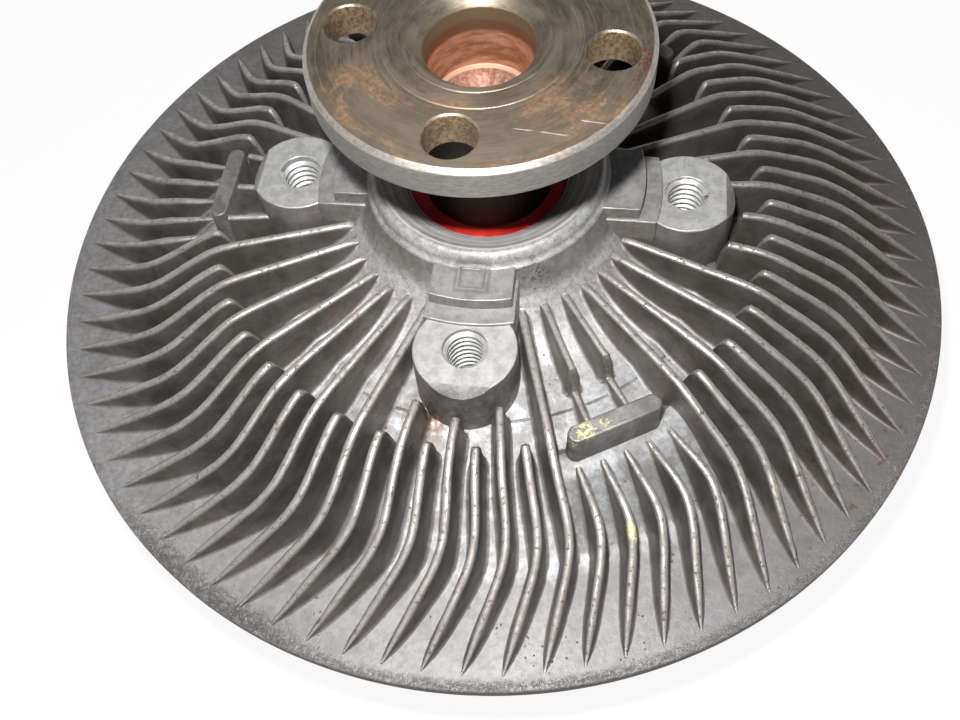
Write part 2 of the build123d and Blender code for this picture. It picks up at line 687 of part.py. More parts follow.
def front_cover():
    """The finned cover with the fluid reservoir and the well of the thermostat coil."""
    body = turned(
        (0, WELL_CEILING - VALVE_BOSS_H),
        (VALVE_BOSS_R, WELL_CEILING - VALVE_BOSS_H),
        (VALVE_BOSS_R, WELL_CEILING),
        (COIL_WELL_R, WELL_CEILING),
        (COIL_WELL_R, WELL_RING_BOTTOM),
        (COIL_WELL_R + WELL_RING_T, WELL_RING_BOTTOM),
        (COIL_WELL_R + WELL_RING_T, BULGE_BOTTOM),
        (BULGE_R - BULGE_CHAMFER, BULGE_BOTTOM),
        (BULGE_R, BULGE_BOTTOM + BULGE_CHAMFER),
        (BULGE_R, COVER_BOTTOM),
        (LIP_ROLL_R - LIP_ROLL_GAP, COVER_BOTTOM),
        (LIP_ROLL_R - LIP_ROLL_GAP, COVER_LEDGE),
        (COVER_RIM_R, COVER_LEDGE),
        (COVER_RIM_R, COVER_SEAT),
        (CHAMBER_R, COVER_SEAT),
        (CHAMBER_R, CHAMBER_FLOOR),
        (PLATE_R + COVER_FIT, CHAMBER_FLOOR),
        (PLATE_R + COVER_FIT, PLATE_SEAT),
        (RESERVOIR_R, PLATE_SEAT),
        (RESERVOIR_R, RESERVOIR_FLOOR),
        (HUB_TOP_R + HUB_SLOPE, RESERVOIR_FLOOR),
        (HUB_TOP_R, HUB_TOP),
        (0, HUB_TOP),
    )
    body += around(COVER_FINS, 180 / COVER_FINS, cover_fin()) + [cover_post()]
    body -= cover_seal_groove() + rod(VALVE_SHAFT_R + VALVE_FIT, 0, HUB_TOP + 1) + return_passage()
    body -= around(PLATE_SCREWS, 180 / PLATE_SCREWS, plate_screw_blank())
    pocket = sector(WIPER_IN_R, CHAMBER_R, WIPER_HALF_SPAN, CHAMBER_FLOOR - WIPER_BASE_T, CHAMBER_FLOOR + 1)
    return body - Rot(0, 0, WIPER_ANGLE) * pocket - wiper_pin_set()


def return_passage():
    """Drilled way back from the edge of the chamber to the reservoir."""
    height = COVER_BOTTOM + RETURN_FLOOR_T + RETURN_R
    start = RESERVOIR_R - 1
    end = CHAMBER_R - 2 * RETURN_R
    drilled = Pos(start, 0, height) * Rot(0, 90, 0) * extrude(Circle(RETURN_R), end - start)
    inlet = Pos(end - RETURN_R, 0, height) * extrude(Circle(RETURN_R), COVER_PLATE_T)
    return Rot(0, 0, RETURN_ANGLE) * (drilled + inlet)


def cover_seal_groove():
    """Groove in the cover's rim for the seal ring."""
    half = COVER_SEAL_W / 2
    return tube(COVER_SEAL_R - half, COVER_SEAL_R + half, COVER_SEAT - COVER_SEAL_H, COVER_SEAT)


def squeezed_ring(inner_r, outer_r, bottom, top, corner):
    """A rubber ring that fills its groove but for the corners."""
    return turned(
        (inner_r + corner, bottom),
        (outer_r - corner, bottom),
        (outer_r, bottom + corner),
        (outer_r, top - corner),
        (outer_r - corner, top),
        (inner_r + corner, top),
        (inner_r, top - corner),
        (inner_r, bottom + corner),
    )


def cover_seal_ring():
    """Rubber ring, squeezed flush with the seat in the cover's groove."""
    half = COVER_SEAL_W / 2
    bottom = COVER_SEAT - COVER_SEAL_H
    return squeezed_ring(COVER_SEAL_R - half, COVER_SEAL_R + half, bottom, COVER_SEAT, COVER_SEAL_CORNER)


def pump_plate():
    """Sheet steel plate over the reservoir with the fill ports."""
    port = Pos(PORT_CIRCLE_R, 0, PLATE_SEAT - 1) * extrude(Circle(PORT_R), PLATE_T + 2)
    plate = rod(PLATE_R, PLATE_SEAT, CHAMBER_FLOOR) - around(PORT_COUNT, 0, port)
    return plate - around(PLATE_SCREWS, 180 / PLATE_SCREWS, plate_screw_blank())


def plate_screw_blank():
    """Countersunk screw without its slot, which is also the hole that it needs."""
    bottom = PLATE_SEAT - PLATE_SCREW_L
    screw = turned(
        (0, bottom),
        (PLATE_SCREW_R, bottom),
        (PLATE_SCREW_R, CHAMBER_FLOOR - (PLATE_SCREW_HEAD_R - PLATE_SCREW_R)),
        (PLATE_SCREW_HEAD_R, CHAMBER_FLOOR),
        (0, CHAMBER_FLOOR),
    )
    return Pos(PLATE_SCREW_CIRCLE_R, 0, 0) * screw


def pump_plate_screws():
    """Countersunk slotted screws, all in one node."""
    slot = Pos(PLATE_SCREW_CIRCLE_R, 0, CHAMBER_FLOOR) * Box(3 * PLATE_SCREW_HEAD_R, SCREW_SLOT_W, SCREW_SLOT_W)
    return Compound(children=around(PLATE_SCREWS, 180 / PLATE_SCREWS, plate_screw_blank() - slot))


def wiper_pin_set():
    """The drive pins that hold the wiper, in their places."""
    pin = Pos(WIPER_PIN_CIRCLE_R, 0, CHAMBER_FLOOR - WIPER_PIN_L) * extrude(Circle(WIPER_PIN_R), WIPER_PIN_L)
    return [Rot(0, 0, WIPER_ANGLE + side * WIPER_PIN_SPREAD) * pin for side in (-1, 1)]


def wiper_pins():
    """Two drive pins, both in one node."""
    return Compound(children=wiper_pin_set())


def wiper():
    """Pump element: a foot under the rotor and a wall that stands in the fluid at the rotor's edge."""
    outer_r = CHAMBER_R - WIPER_FIT
    foot = sector(WIPER_IN_R, outer_r, WIPER_HALF_SPAN, CHAMBER_FLOOR - WIPER_BASE_T, CHAMBER_FLOOR)
    wall = sector(ROTOR_R + WIPER_GAP, outer_r, WIPER_HALF_SPAN, CHAMBER_FLOOR, CHAMBER_FLOOR + WIPER_H)
    return Rot(0, 0, WIPER_ANGLE) * (foot + wall) - wiper_pin_set()


def valve_shaft():
    """Thermostat shaft: slotted for the coil below, O-ring groove in the middle, clip groove and flats above."""
    groove_bottom = O_RING_HEIGHT - O_RING_T / 2 - O_RING_SIDE_GAP
    groove_top = O_RING_HEIGHT + O_RING_T / 2 + O_RING_SIDE_GAP
    shaft = turned(
        (0, VALVE_SHAFT_BOTTOM),
        (VALVE_SHAFT_R, VALVE_SHAFT_BOTTOM),
        (VALVE_SHAFT_R, groove_bottom),
        (O_RING_GROOVE_R, groove_bottom),
        (O_RING_GROOVE_R, groove_top),
        (VALVE_SHAFT_R, groove_top),
        (VALVE_SHAFT_R, ARM_BOTTOM - CLIP_T),
        (CLIP_GROOVE_R, ARM_BOTTOM - CLIP_T),
        (CLIP_GROOVE_R, ARM_BOTTOM),
        (VALVE_SHAFT_R, ARM_BOTTOM),
        (VALVE_SHAFT_R, ARM_BOTTOM + ARM_T),
        (0, ARM_BOTTOM + ARM_T),
    )
    across = 4 * VALVE_SHAFT_R
    flats = Pos(0, 0, ARM_BOTTOM) * extrude(Rectangle(across, across) - Rectangle(across, 2 * ARM_FLAT), ARM_T)
    slot = extrude(Rectangle(across, COIL_T + 2 * COIL_SIDE_GAP), COIL_BOTTOM + COIL_H + COIL_SIDE_GAP)
    return shaft - flats - slot


def valve_arm():
    """Sheet arm on the shaft's flats. Its two ends cover the fill ports at rest."""
    reach = PORT_CIRCLE_R + PORT_R + ARM_OVERLAP
    plan = SlotOverall(2 * reach, ARM_W) + Circle(ARM_HUB_R)
    hole = Rectangle(4 * VALVE_SHAFT_R, 2 * (ARM_FLAT + ARM_FIT)) & Circle(VALVE_SHAFT_R + ARM_FIT)
    return Pos(0, 0, ARM_BOTTOM) * extrude(plan - hole, ARM_T)


def valve_arm_clip():
    """Open spring clip in the shaft's groove, under the arm."""
    plan = Circle(CLIP_R) - Circle(CLIP_GROOVE_R) - Pos(0, CLIP_R) * Rectangle(CLIP_MOUTH, 2 * CLIP_R)
    return Pos(0, 0, ARM_BOTTOM - CLIP_T) * extrude(plan, CLIP_T)


def valve_shaft_o_ring():
    """O-ring between valve shaft and cover, as it lies squeezed in its groove."""
    bottom = O_RING_HEIGHT - O_RING_T / 2
    outer_r = VALVE_SHAFT_R + VALVE_FIT
    return squeezed_ring(O_RING_GROOVE_R, outer_r, bottom, bottom + O_RING_T, O_RING_CORNER)


def bimetal_coil():
    """Flat spiral of half circles. Its inner end crosses the shaft's slot, its outer end is bent into the post."""
    half = COIL_T / 2
    plan = Pos((COIL_IN_R + half - COIL_INNER_REACH) / 2, 0) * Rectangle(COIL_IN_R + half + COIL_INNER_REACH, COIL_T)
    for i in range(2 * COIL_TURNS):
        radius = COIL_IN_R + i * COIL_PITCH / 2
        centre = COIL_PITCH / 2 * (i % 2)
        side = 1 - 2 * (i % 2)
        half_plane = Pos(0, side * 2 * radius) * Rectangle(5 * radius, 4 * radius)
        plan += Pos(centre, 0) * ((Circle(radius + half) - Circle(radius - half)) & half_plane)
    outer_r = COIL_IN_R + COIL_TURNS * COIL_PITCH
    plan += Pos((outer_r - half + COIL_END_R) / 2, half) * Rectangle(COIL_END_R - outer_r + half, COIL_T)
    return Pos(0, 0, COIL_BOTTOM) * extrude(plan, COIL_H)


NODES = {
    "rear_housing": rear_housing(),
    "input_shaft": input_shaft(),
    "clutch_disc": clutch_disc(),
    "bearing_outer_race": race(OUTER_LAND_R, BEARING_R, BEARING_R),
    "bearing_inner_race": race(BEARING_BORE_R, INNER_LAND_R, BEARING_BORE_R),
    "bearing_balls": bearing_balls(),
    "bearing_cage": bearing_cage(),
    "upper_bearing_seal": bearing_seal(BEARING_TOP, -1),
    "lower_bearing_seal": bearing_seal(BEARING_TOP - BEARING_W, 1),
    "bearing_snap_ring": bearing_snap_ring(),
    "front_cover": front_cover(),
    "cover_seal_ring": cover_seal_ring(),
    "pump_plate": pump_plate(),
    "pump_plate_screws": pump_plate_screws(),
    "wiper": wiper(),
    "wiper_pins": wiper_pins(),
    "valve_shaft": valve_shaft(),
    "valve_arm": valve_arm(),
    "valve_arm_clip": valve_arm_clip(),
    "valve_shaft_o_ring": valve_shaft_o_ring(),
    "bimetal_coil": bimetal_coil(),
}

os.makedirs("parts", exist_ok=True)
for name, shape in NODES.items():
    export_step(shape, f"parts/{name}.step")
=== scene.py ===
from math import cos, hypot, pi, radians, sin, sqrt

import bmesh
import bpy
from mathutils import Matrix, Vector, noise


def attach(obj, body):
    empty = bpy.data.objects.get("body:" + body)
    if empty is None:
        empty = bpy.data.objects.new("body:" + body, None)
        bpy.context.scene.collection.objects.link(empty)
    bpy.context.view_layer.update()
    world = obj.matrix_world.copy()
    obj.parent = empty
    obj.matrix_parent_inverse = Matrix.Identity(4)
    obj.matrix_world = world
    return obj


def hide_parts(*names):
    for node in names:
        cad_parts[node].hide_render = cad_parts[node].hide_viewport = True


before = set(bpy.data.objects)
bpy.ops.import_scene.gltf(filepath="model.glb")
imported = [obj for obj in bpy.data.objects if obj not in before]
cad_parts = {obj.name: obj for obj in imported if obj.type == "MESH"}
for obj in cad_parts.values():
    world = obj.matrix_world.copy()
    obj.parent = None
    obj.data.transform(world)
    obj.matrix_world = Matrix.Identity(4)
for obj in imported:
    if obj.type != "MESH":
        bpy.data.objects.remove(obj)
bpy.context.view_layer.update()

# The studio: a pale floor with a round pale wall about it, a small lamp just above the lens that gives the flange
# its dark shadow, a large soft lamp on the left, and the camera where the photographer held it.
MM = 0.001
RIM_PLANE = 30.0
EYE = Vector((0, -127.6766, 169.7333 + RIM_PLANE)) * MM
EYE_RIGHT = Vector((0.99730709, -0.04893187, -0.05462813))
EYE_UP = Vector((0.06994376, 0.85861202, 0.50783193))
EYE_AHEAD = Vector((-0.02205521, 0.51028528, -0.85972234))
FOCAL_PIXELS = 980.0
IMAGE_WIDTH = 960
SENSOR = 36.0
LIT_POINT = Vector((0, 0, 0.045))
KEY_LEFT = 0.012
KEY_ABOVE = 0.031
KEY_SIZE = 0.010
KEY_POWER = 0.80
TOP_PLACE = Vector((-0.35, 0.1, 0.95))
TOP_SIZE = 0.4
TOP_POWER = 0.8
FLOOR_HALF = 2.0
WALL_R = 1.9
WALL_HEIGHT = 0.8
PAPER_GLOW = 0.93
SKY_TINT = (0.95, 0.97, 1.0, 1.0)
SKY_STRENGTH = 0.055


def turned_to(right, above, ahead):
    """Rotation with these directions to the right, above and ahead."""
    return Matrix((right, above, -ahead)).transposed().to_4x4()


camera_data = bpy.data.cameras.new("camera")
camera_data.sensor_width = SENSOR
camera_data.lens = SENSOR * FOCAL_PIXELS / IMAGE_WIDTH
camera_data.clip_start = 0.005
camera = bpy.data.objects.new("camera", camera_data)
camera.matrix_world = Matrix.Translation(EYE) @ turned_to(EYE_RIGHT, EYE_UP, EYE_AHEAD)
bpy.context.scene.collection.objects.link(camera)
bpy.context.scene.camera = camera
bpy.context.scene.view_settings.view_transform = "Standard"


def lamp(name, place, size, power):
    """A square area lamp at a place, turned to the clutch."""
    data = bpy.data.lights.new(name, "AREA")
    data.size = size
    data.energy = power
    made = bpy.data.objects.new(name, data)
    made.matrix_world = Matrix.Translation(place) @ (LIT_POINT - place).to_track_quat("-Z", "Y").to_matrix().to_4x4()
    bpy.context.scene.collection.objects.link(made)


lamp("key_lamp", EYE + EYE_RIGHT * -KEY_LEFT + EYE_UP * KEY_ABOVE, KEY_SIZE, KEY_POWER)
lamp("top_lamp", TOP_PLACE, TOP_SIZE, TOP_POWER)


class Value:
    """A shader socket that takes part in arithmetic. Each operation adds a Math node."""

    def __init__(self, finish, socket):
        self.finish = finish
        self.socket = socket

    def math(self, operation, *operands):
        return self.finish.node("ShaderNodeMath", {"operation": operation}, dict(enumerate(operands)))

    def __add__(self, other):
        return self.math("ADD", self, other)

    def __radd__(self, other):
        return self.math("ADD", other, self)

    def __sub__(self, other):
        return self.math("SUBTRACT", self, other)

    def __rsub__(self, other):
        return self.math("SUBTRACT", other, self)

    def __mul__(self, other):
        return self.math("MULTIPLY", self, other)

    def __rmul__(self, other):
        return self.math("MULTIPLY", other, self)

    def __pow__(self, other):
        return self.math("POWER", self, other)

    def __abs__(self):
        return self.math("ABSOLUTE", self)

    def or_more(self, other):
        """The larger of two values."""
        return self.math("MAXIMUM", self, other)

    def over(self, low, high):
        """0 below low and 1 above high, with a smooth rise between them. Falls where low is the larger."""
        ends = {"Value": self, "From Min": low, "From Max": high}
        return self.finish.node("ShaderNodeMapRange", {"interpolation_type": "SMOOTHSTEP"}, ends)


class Finish:
    """A procedural material. node() adds any node: its type, its settings, then what its sockets take."""

    def __init__(self, name, constants):
        self.material = bpy.data.materials.new(name)
        self.material.use_nodes = True
        self.tree = self.material.node_tree
        self.shader = self.tree.nodes["Principled BSDF"]
        for socket, value in constants.items():
            self.shader.inputs[socket].default_value = value
        self.place = self.node("ShaderNodeTexCoord", {}, {}, "Object")

    def node(self, kind, settings, sockets, output=0):
        made = self.tree.nodes.new(kind)
        for name, value in settings.items():
            setattr(made, name, value)
        for key, value in sockets.items():
            self.plug(made.inputs[key], value)
        return Value(self, made.outputs[output])

    def plug(self, socket, value):
        if isinstance(value, Value):
            self.tree.links.new(value.socket, socket)
        else:
            socket.default_value = value

    def noise(self, size_mm, detail=4.0, roughness=0.6, where=None, distortion=0.0):
        """Noise whose lumps are about this many millimetres across."""
        sockets = {"Vector": where or self.place, "Scale": 1 / (size_mm * MM), "Detail": detail}
        return self.node("ShaderNodeTexNoise", {}, sockets | {"Roughness": roughness, "Distortion": distortion})

    def rings(self, size_mm, radius):
        """Fine rings left by a lathe tool."""
        sockets = {"W": radius, "Scale": 1 / (size_mm * MM), "Detail": 3.0}
        return self.node("ShaderNodeTexNoise", {"noise_dimensions": "1D"}, sockets)

    def mix(self, share, first, second):
        """Colour between two colours."""
        return self.node("ShaderNodeMix", {"data_type": "RGBA"}, {0: share, 6: first, 7: second}, 2)

    def attribute(self, name):
        """A value that the mesh carries at its points."""
        return self.node("ShaderNodeAttribute", {"attribute_name": name}, {}, "Fac")

    def xyz(self):
        """The three coordinates, in metres."""
        return [self.node("ShaderNodeSeparateXYZ", {}, {0: self.place}, axis) for axis in range(3)]

    def near(self, spot_mm, inner_mm, outer_mm):
        """1 within the inner distance of a spot, falling to 0 at the outer one."""
        spot = [c * MM for c in spot_mm]
        gap = self.node("ShaderNodeVectorMath", {"operation": "DISTANCE"}, {0: self.place, 1: spot}, "Value")
        return gap.over(outer_mm * MM, inner_mm * MM)

    def done(self, colour, roughness, height, depth_mm, strength=1.0):
        """Sets colour and roughness, and the bumps whose full height is depth_mm."""
        sockets = {"Height": height, "Distance": depth_mm * MM, "Strength": strength}
        bumps = self.node("ShaderNodeBump", {}, sockets, "Normal")
        for socket, value in {"Base Color": colour, "Roughness": roughness, "Normal": bumps}.items():
            self.plug(self.shader.inputs[socket], value)
        return self.material


def grey(level, warm=0.0):
    """A neutral colour, a little warmer for a positive second number."""
    return (level * (1 + warm), level, level * (1 - warm), 1.0)


def mesh_of(name, bm):
    """Turns a bmesh into a mesh and frees it."""
    data = bpy.data.meshes.new(name)
    bm.to_mesh(data)
    bm.free()
    return data


def stage(name, bm, material):
    """Makes an object of a mesh in metres that belongs to the studio."""
    made = bpy.data.objects.new(name, mesh_of(name, bm))
    made.data.materials.append(material)
    bpy.context.scene.collection.objects.link(made)


def points_in(geometry):
    """The points among what a bmesh operator made."""
    return [g for g in geometry if isinstance(g, bmesh.types.BMVert)]


# The paper of floor and wall is plain white to the lens and in reflections, and gives soft light back elsewhere.
floor_finish = Finish("floor_paper", {"Metallic": 0.0, "Specular IOR Level": 0.2})
fibre = floor_finish.noise(1.5, 3)
floor_finish.done(floor_finish.mix(fibre, grey(0.90, -0.005), grey(0.92)), 0.85, fibre, 0.01)
ray = {name: floor_finish.node("ShaderNodeLightPath", {}, {}, name) for name in ("Is Camera Ray", "Is Glossy Ray")}
paper_white = floor_finish.node("ShaderNodeEmission", {}, {"Color": grey(1.0), "Strength": 1.0})
seen = (ray["Is Camera Ray"] + ray["Is Glossy Ray"]) * PAPER_GLOW
lit = Value(floor_finish, floor_finish.shader.outputs[0])
veiled = floor_finish.node("ShaderNodeMixShader", {}, {0: seen, 1: lit, 2: paper_white})
floor_finish.plug(floor_finish.tree.nodes["Material Output"].inputs["Surface"], veiled)

floor = bmesh.new()
bmesh.ops.create_grid(floor, x_segments=1, y_segments=1, size=FLOOR_HALF)
stage("floor", floor, floor_finish.material)

wall = bmesh.new()
bmesh.ops.create_circle(wall, segments=96, radius=WALL_R)
raised = bmesh.ops.extrude_edge_only(wall, edges=wall.edges[:])["geom"]
bmesh.ops.translate(wall, vec=(0, 0, WALL_HEIGHT), verts=points_in(raised))
stage("wall", wall, floor_finish.material)

world = bpy.data.worlds.new("studio")
world.use_nodes = True
backdrop = world.node_tree.nodes["Background"]
backdrop.inputs["Color"].default_value = SKY_TINT
backdrop.inputs["Strength"].default_value = SKY_STRENGTH
bpy.context.scene.world = world


# The rear housing: one aluminium casting. Rim, floor, hub sweep and neck are turned here as one closed section
# with the chamber inside. The neck's mouth is machined bright, the rest is as cast and stained by use.
HOUSING_STEPS = 240
FLOOR_FLAT_R = 71.5
FLOOR_RISE_R = 56.0
FLOOR_RISE = 7.5
FLOOR_LINE_R = 46.3
FLOOR_LINE = 10.0
SWEEP_R = 18.8
SWEEP_CENTRE = (42.0, 30.0)
LAND_EDGES = [60.4, 62.6, 66.0, 68.2, 71.6, 73.8, 77.2, 79.4]


def up(height):
    """Height above the rim plane as a height in the frame, in millimetres."""
    return RIM_PLANE + height


def part(name, bm, material, body, node, smooth=35.0):
    """Makes an object of a mesh in millimetres, gives it its material and body, and puts it in place of a CAD node.
    """
    bm.transform(Matrix.Scale(MM, 4))
    data = mesh_of(name, bm)
    data.shade_smooth()
    data.set_sharp_from_angle(angle=radians(smooth))
    data.materials.append(material)
    made = bpy.data.objects.new(name, data)
    bpy.context.scene.collection.objects.link(made)
    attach(made, body)
    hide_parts(node)
    return made


def marked_mesh():
    """An empty bmesh whose points can carry the marks for crests and flanks that the casting's finish reads."""
    bm = bmesh.new()
    for name in ("crest", "flank"):
        bm.verts.layers.float.new(name)
    return bm


def bevel(bm, geometry, size, segments, affect, clamp=False):
    """Rounds points of an outline or edges of a solid."""
    bmesh.ops.bevel(
        bm, geom=geometry, offset=size, offset_type="OFFSET", segments=segments, profile=0.5, affect=affect,
        material=-1, clamp_overlap=clamp,
    )


def outline_of(bm, corners, segments, closed=True):
    """Draws (radius, height, rounding) corners as an outline in the XZ plane."""
    points = [bm.verts.new((r, 0, z)) for r, z, rounding in corners]
    for pair in zip(points, points[1:] + points[: int(closed)]):
        bm.edges.new(pair)
    for point, (r, z, rounding) in zip(points, corners):
        if rounding:
            bevel(bm, [point], rounding, segments, "VERTICES")


def revolve(bm, steps):
    """Spins the outline in a bmesh once about the Z axis and closes it."""
    bmesh.ops.spin(
        bm, geom=bm.verts[:] + bm.edges[:], cent=(0, 0, 0), axis=(0, 0, 1), angle=2 * pi, steps=steps, use_merge=True,
    )
    bmesh.ops.remove_doubles(bm, verts=bm.verts, dist=1e-4)


def sweep_height(r):
    """Height of the concave sweep from the floor to the neck."""
    return SWEEP_CENTRE[1] - sqrt(SWEEP_R**2 - (r - SWEEP_CENTRE[0]) ** 2)


housing = marked_mesh()
sweep_rs = [42.0, 39.0, 36.0, 33.0, 30.5, 28.3, 26.5, 25.2, 24.3, 23.76]
outline = [
    (85.0, 17.4, 0.4), (88.5, 17.4, 1.2), (90.3, 19.2, 1.2), (90.3, up(-2.4), 0), (92.1, up(-2.4), 0.3),
    (92.1, up(0), 0.45), (FLOOR_FLAT_R, up(0), 2.2), (FLOOR_RISE_R, up(FLOOR_RISE), 1.6),
    (FLOOR_LINE_R + 0.35, up(FLOOR_LINE - 0.1), 0), (FLOOR_LINE_R, up(FLOOR_LINE - 0.3), 0),
    (FLOOR_LINE_R - 0.2, up(FLOOR_LINE + 0.1), 0),
]
outline += [(r, up(sweep_height(r)), 0) for r in sweep_rs]
outline += [
    (22.9, up(26.2), 0.5), (22.7, up(27.8), 0.9), (21.6, up(28.75), 0.8), (20.4, up(28.35), 0.25),
    (18.7, up(27.15), 0.1), (18.5, up(26.85), 0), (15.3, up(24.9), 0.12),
    (15.3, 54.3, 0), (20.0, 54.3, 0), (20.0, 38.3, 0), (21.1, 38.3, 0), (21.1, 36.9, 0), (20.0, 36.9, 0),
    (20.0, 35.8, 0), (20.6, 35.2, 0), (24.0, 35.2, 0), (48.0, 32.0, 0), (60.0, 26.0, 0),
]
for first, last in zip(LAND_EDGES[::2], LAND_EDGES[1::2]):
    outline += [(first, 26.0, 0), (first, 23.4, 0), (last, 23.4, 0), (last, 26.0, 0)]
outline += [(83.5, 26.0, 0), (83.5, 23.2, 0), (87.5, 23.2, 0), (87.5, 19.2, 0), (85.0, 19.2, 0)]
outline_of(housing, outline, 4)
revolve(housing, HOUSING_STEPS)

# The housing's cooling fins, 40 long ones and 40 short ones by turns, cast with it. Each is swept from its tip
# at the rim, round its bend, to its nose or into the hub, with draft, a round crest and a fillet at its foot.
FIN_COUNT = 80
FIN_FIRST_TIP = -92.14
FIN_TIP_R = 89.4
FIN_PLAN = [(FIN_TIP_R, -0.25), (71.9, 6.5), (67.2, 6.65), (59.0, 5.4), (30.0, 3.3), (23.5, 2.8)]
FIN_PLAN_REACH = 2.8
FIN_CREST = [(FIN_TIP_R, 0.0), (57.0, 16.9), (53.0, 17.9), (30.0, 18.5), (23.0, 18.6)]
FIN_CREST_REACH = 1.6
FIN_TAPER = 7.5
CREST_HALF_W = 0.85
FOOT_HALF_W = 1.45
FOOT_FILLET = 0.7
NOSE_R = 55.2
NOSE_END_R = 51.9
HUB_NOSE_R = 27.4
HUB_NOSE_STEPS = (3.0, 2.2, 1.7, 1.3, 0.9, 0.5, 0.2, 0.0)
BOSS_NOSE_STEPS = (2.6, 1.9, 1.4, 0.9, 0.5, 0.2, 0.0)
BOSS_NOSE_RS = (47.9, 45.7)
NOSE_LENGTH = 1.7
FINS_PER_BOSS = 20
BOSS_FINS = (15, 17, 19)
MIDDLE_BOSS_FIN = 17
BAR_ANGLES = (-69.7, 50.3, 170.3)
BAR_CLEARANCE_DEG = 11.5
FIN_LEAD_DEG = 4.5
CUT_FIN_END_R = 57.6
STUB_STEP_R = 44.0
STUB_LOW = 12.3
INNER_FIN_TOP = 16.6
BOSS_STUB_RS = (44.5, 46.2)
APRON_FINS = (0, 27, 53)
APRON_START_R = 52.6
APRON_LIP = 2.4
APRON_TOP = 10.8
APRON_LINE = [(FLOOR_FLAT_R, -1.0), (58.8, 10.2), (54.4, APRON_TOP)]
APRON_ANGLES = (-82.4, -55.4)


def follow(points, r):
    """Value at r of a line through (r, value) points that run inwards."""
    for (r0, v0), (r1, v1) in zip(points, points[1:]):
        if r >= r1:
            return v0 + (v1 - v0) * (r0 - r) / (r0 - r1)
    return points[-1][1]


def smoothed(points, r, reach):
    """The same line with its corners rounded over this reach."""
    return sum(follow(points, r + reach * t) for t in (-1, -0.5, 0, 0.5, 1)) / 5


def floor_height(r):
    """Height of the housing's floor at a radius."""
    if r > FLOOR_FLAT_R:
        return 0.0
    if r > FLOOR_RISE_R:
        return FLOOR_RISE * (FLOOR_FLAT_R - r) / (FLOOR_FLAT_R - FLOOR_RISE_R)
    if r > FLOOR_LINE_R:
        return FLOOR_RISE + (FLOOR_LINE - FLOOR_RISE) * (FLOOR_RISE_R - r) / (FLOOR_RISE_R - FLOOR_LINE_R)
    return sweep_height(max(r, 23.8))


def fin_section(height, fatness):
    """Half of a fin's section for a height above the floor: (offset, height, crest, flank) from foot to crest."""
    round_r = min(CREST_HALF_W * fatness, 0.5 * height)
    fillet = min(FOOT_FILLET, 0.4 * height)
    half = CREST_HALF_W * fatness
    foot = half + (FOOT_HALF_W - CREST_HALF_W) * min(1, height / 10)
    points = [(foot + fillet, -0.12, 0.0, 0.0)]
    for a in (30, 60, 90):
        spread = foot + fillet * (1 - sin(radians(a)))
        points.append((spread, fillet * (1 - cos(radians(a))), 0.0, a / 90))
    points.append((half + (foot - half) * 0.35, fillet + (height - fillet - round_r) * 0.65, 0.0, 1.0))
    for a in (0, 28, 52, 74):
        angle = radians(a)
        points.append(
            (half - round_r * (1 - cos(angle)), height - round_r * (1 - sin(angle)), sin(angle) ** 2, 1 - sin(angle))
        )
    points.append((0.0, height, 1.0, 0.0))
    return points


def fin_mesh(stations, crest_of, fatness_of, base_of=floor_height):
    """One fin along +X, extruded from station to station."""
    bm = marked_mesh()
    crest_layer, flank_layer = (bm.verts.layers.float[name] for name in ("crest", "flank"))
    ring = []
    for r in stations:
        y, inward, outward = (smoothed(FIN_PLAN, r + step, FIN_PLAN_REACH) for step in (0, -0.5, 0.5))
        across = Vector((inward - outward, 1.0, 0)).normalized()
        base = base_of(r)
        half = fin_section(max(crest_of(r) - base, 0.05), fatness_of(r))
        points = [(-o, h, c, f) for o, h, c, f in half] + [(o, h, c, f) for o, h, c, f in half[-2::-1]]
        if not ring:
            ring = [bm.verts.new((0, 0, 0)) for _ in points]
            edges = [bm.edges.new(pair) for pair in zip(ring, ring[1:])]
        else:
            old = set(bm.verts)
            made = bmesh.ops.extrude_edge_only(bm, edges=edges)["geom"]
            edges = [e for e in made if isinstance(e, bmesh.types.BMEdge) and not any(v in old for v in e.verts)]
            ring = [next(e.other_vert(v) for e in v.link_edges if e.other_vert(v) not in old) for v in ring]
        for v, (offset, height, crest, flank) in zip(ring, points):
            v.co = Vector((r, y, up(base + height))) + across * offset
            v[crest_layer] = crest
            v[flank_layer] = flank
    bmesh.ops.reverse_faces(bm, faces=bm.faces[:])
    return mesh_of("fin", bm)


def tip_fatness(r):
    """Fins narrow to a point at the rim."""
    return min(1.0, 0.12 + 0.88 * ((FIN_TIP_R - r) / FIN_TAPER) ** 0.7) if r > FIN_TIP_R - FIN_TAPER else 1.0


def nosed(begin, end, point):
    """Crest and fatness of a fin that drops to the floor between two radii."""
    def share_of(r):
        return min(1.0, max(0.0, (begin - r) / (begin - end)))

    def crest_of(r):
        share = share_of(r) ** 2.2
        return smoothed(FIN_CREST, r, FIN_CREST_REACH) * (1 - share) + floor_height(r) * share

    def fatness_of(r):
        return tip_fatness(r) * (1 - point * share_of(r) ** 2)

    return crest_of, fatness_of


def add_turned(bm, shape, angle):
    """Adds a mesh to a bmesh, turned by an angle about the clutch's axis."""
    turn = Matrix.Rotation(radians(angle), 4, "Z")
    shape.transform(turn)
    bm.from_mesh(shape)
    shape.transform(turn.inverted())


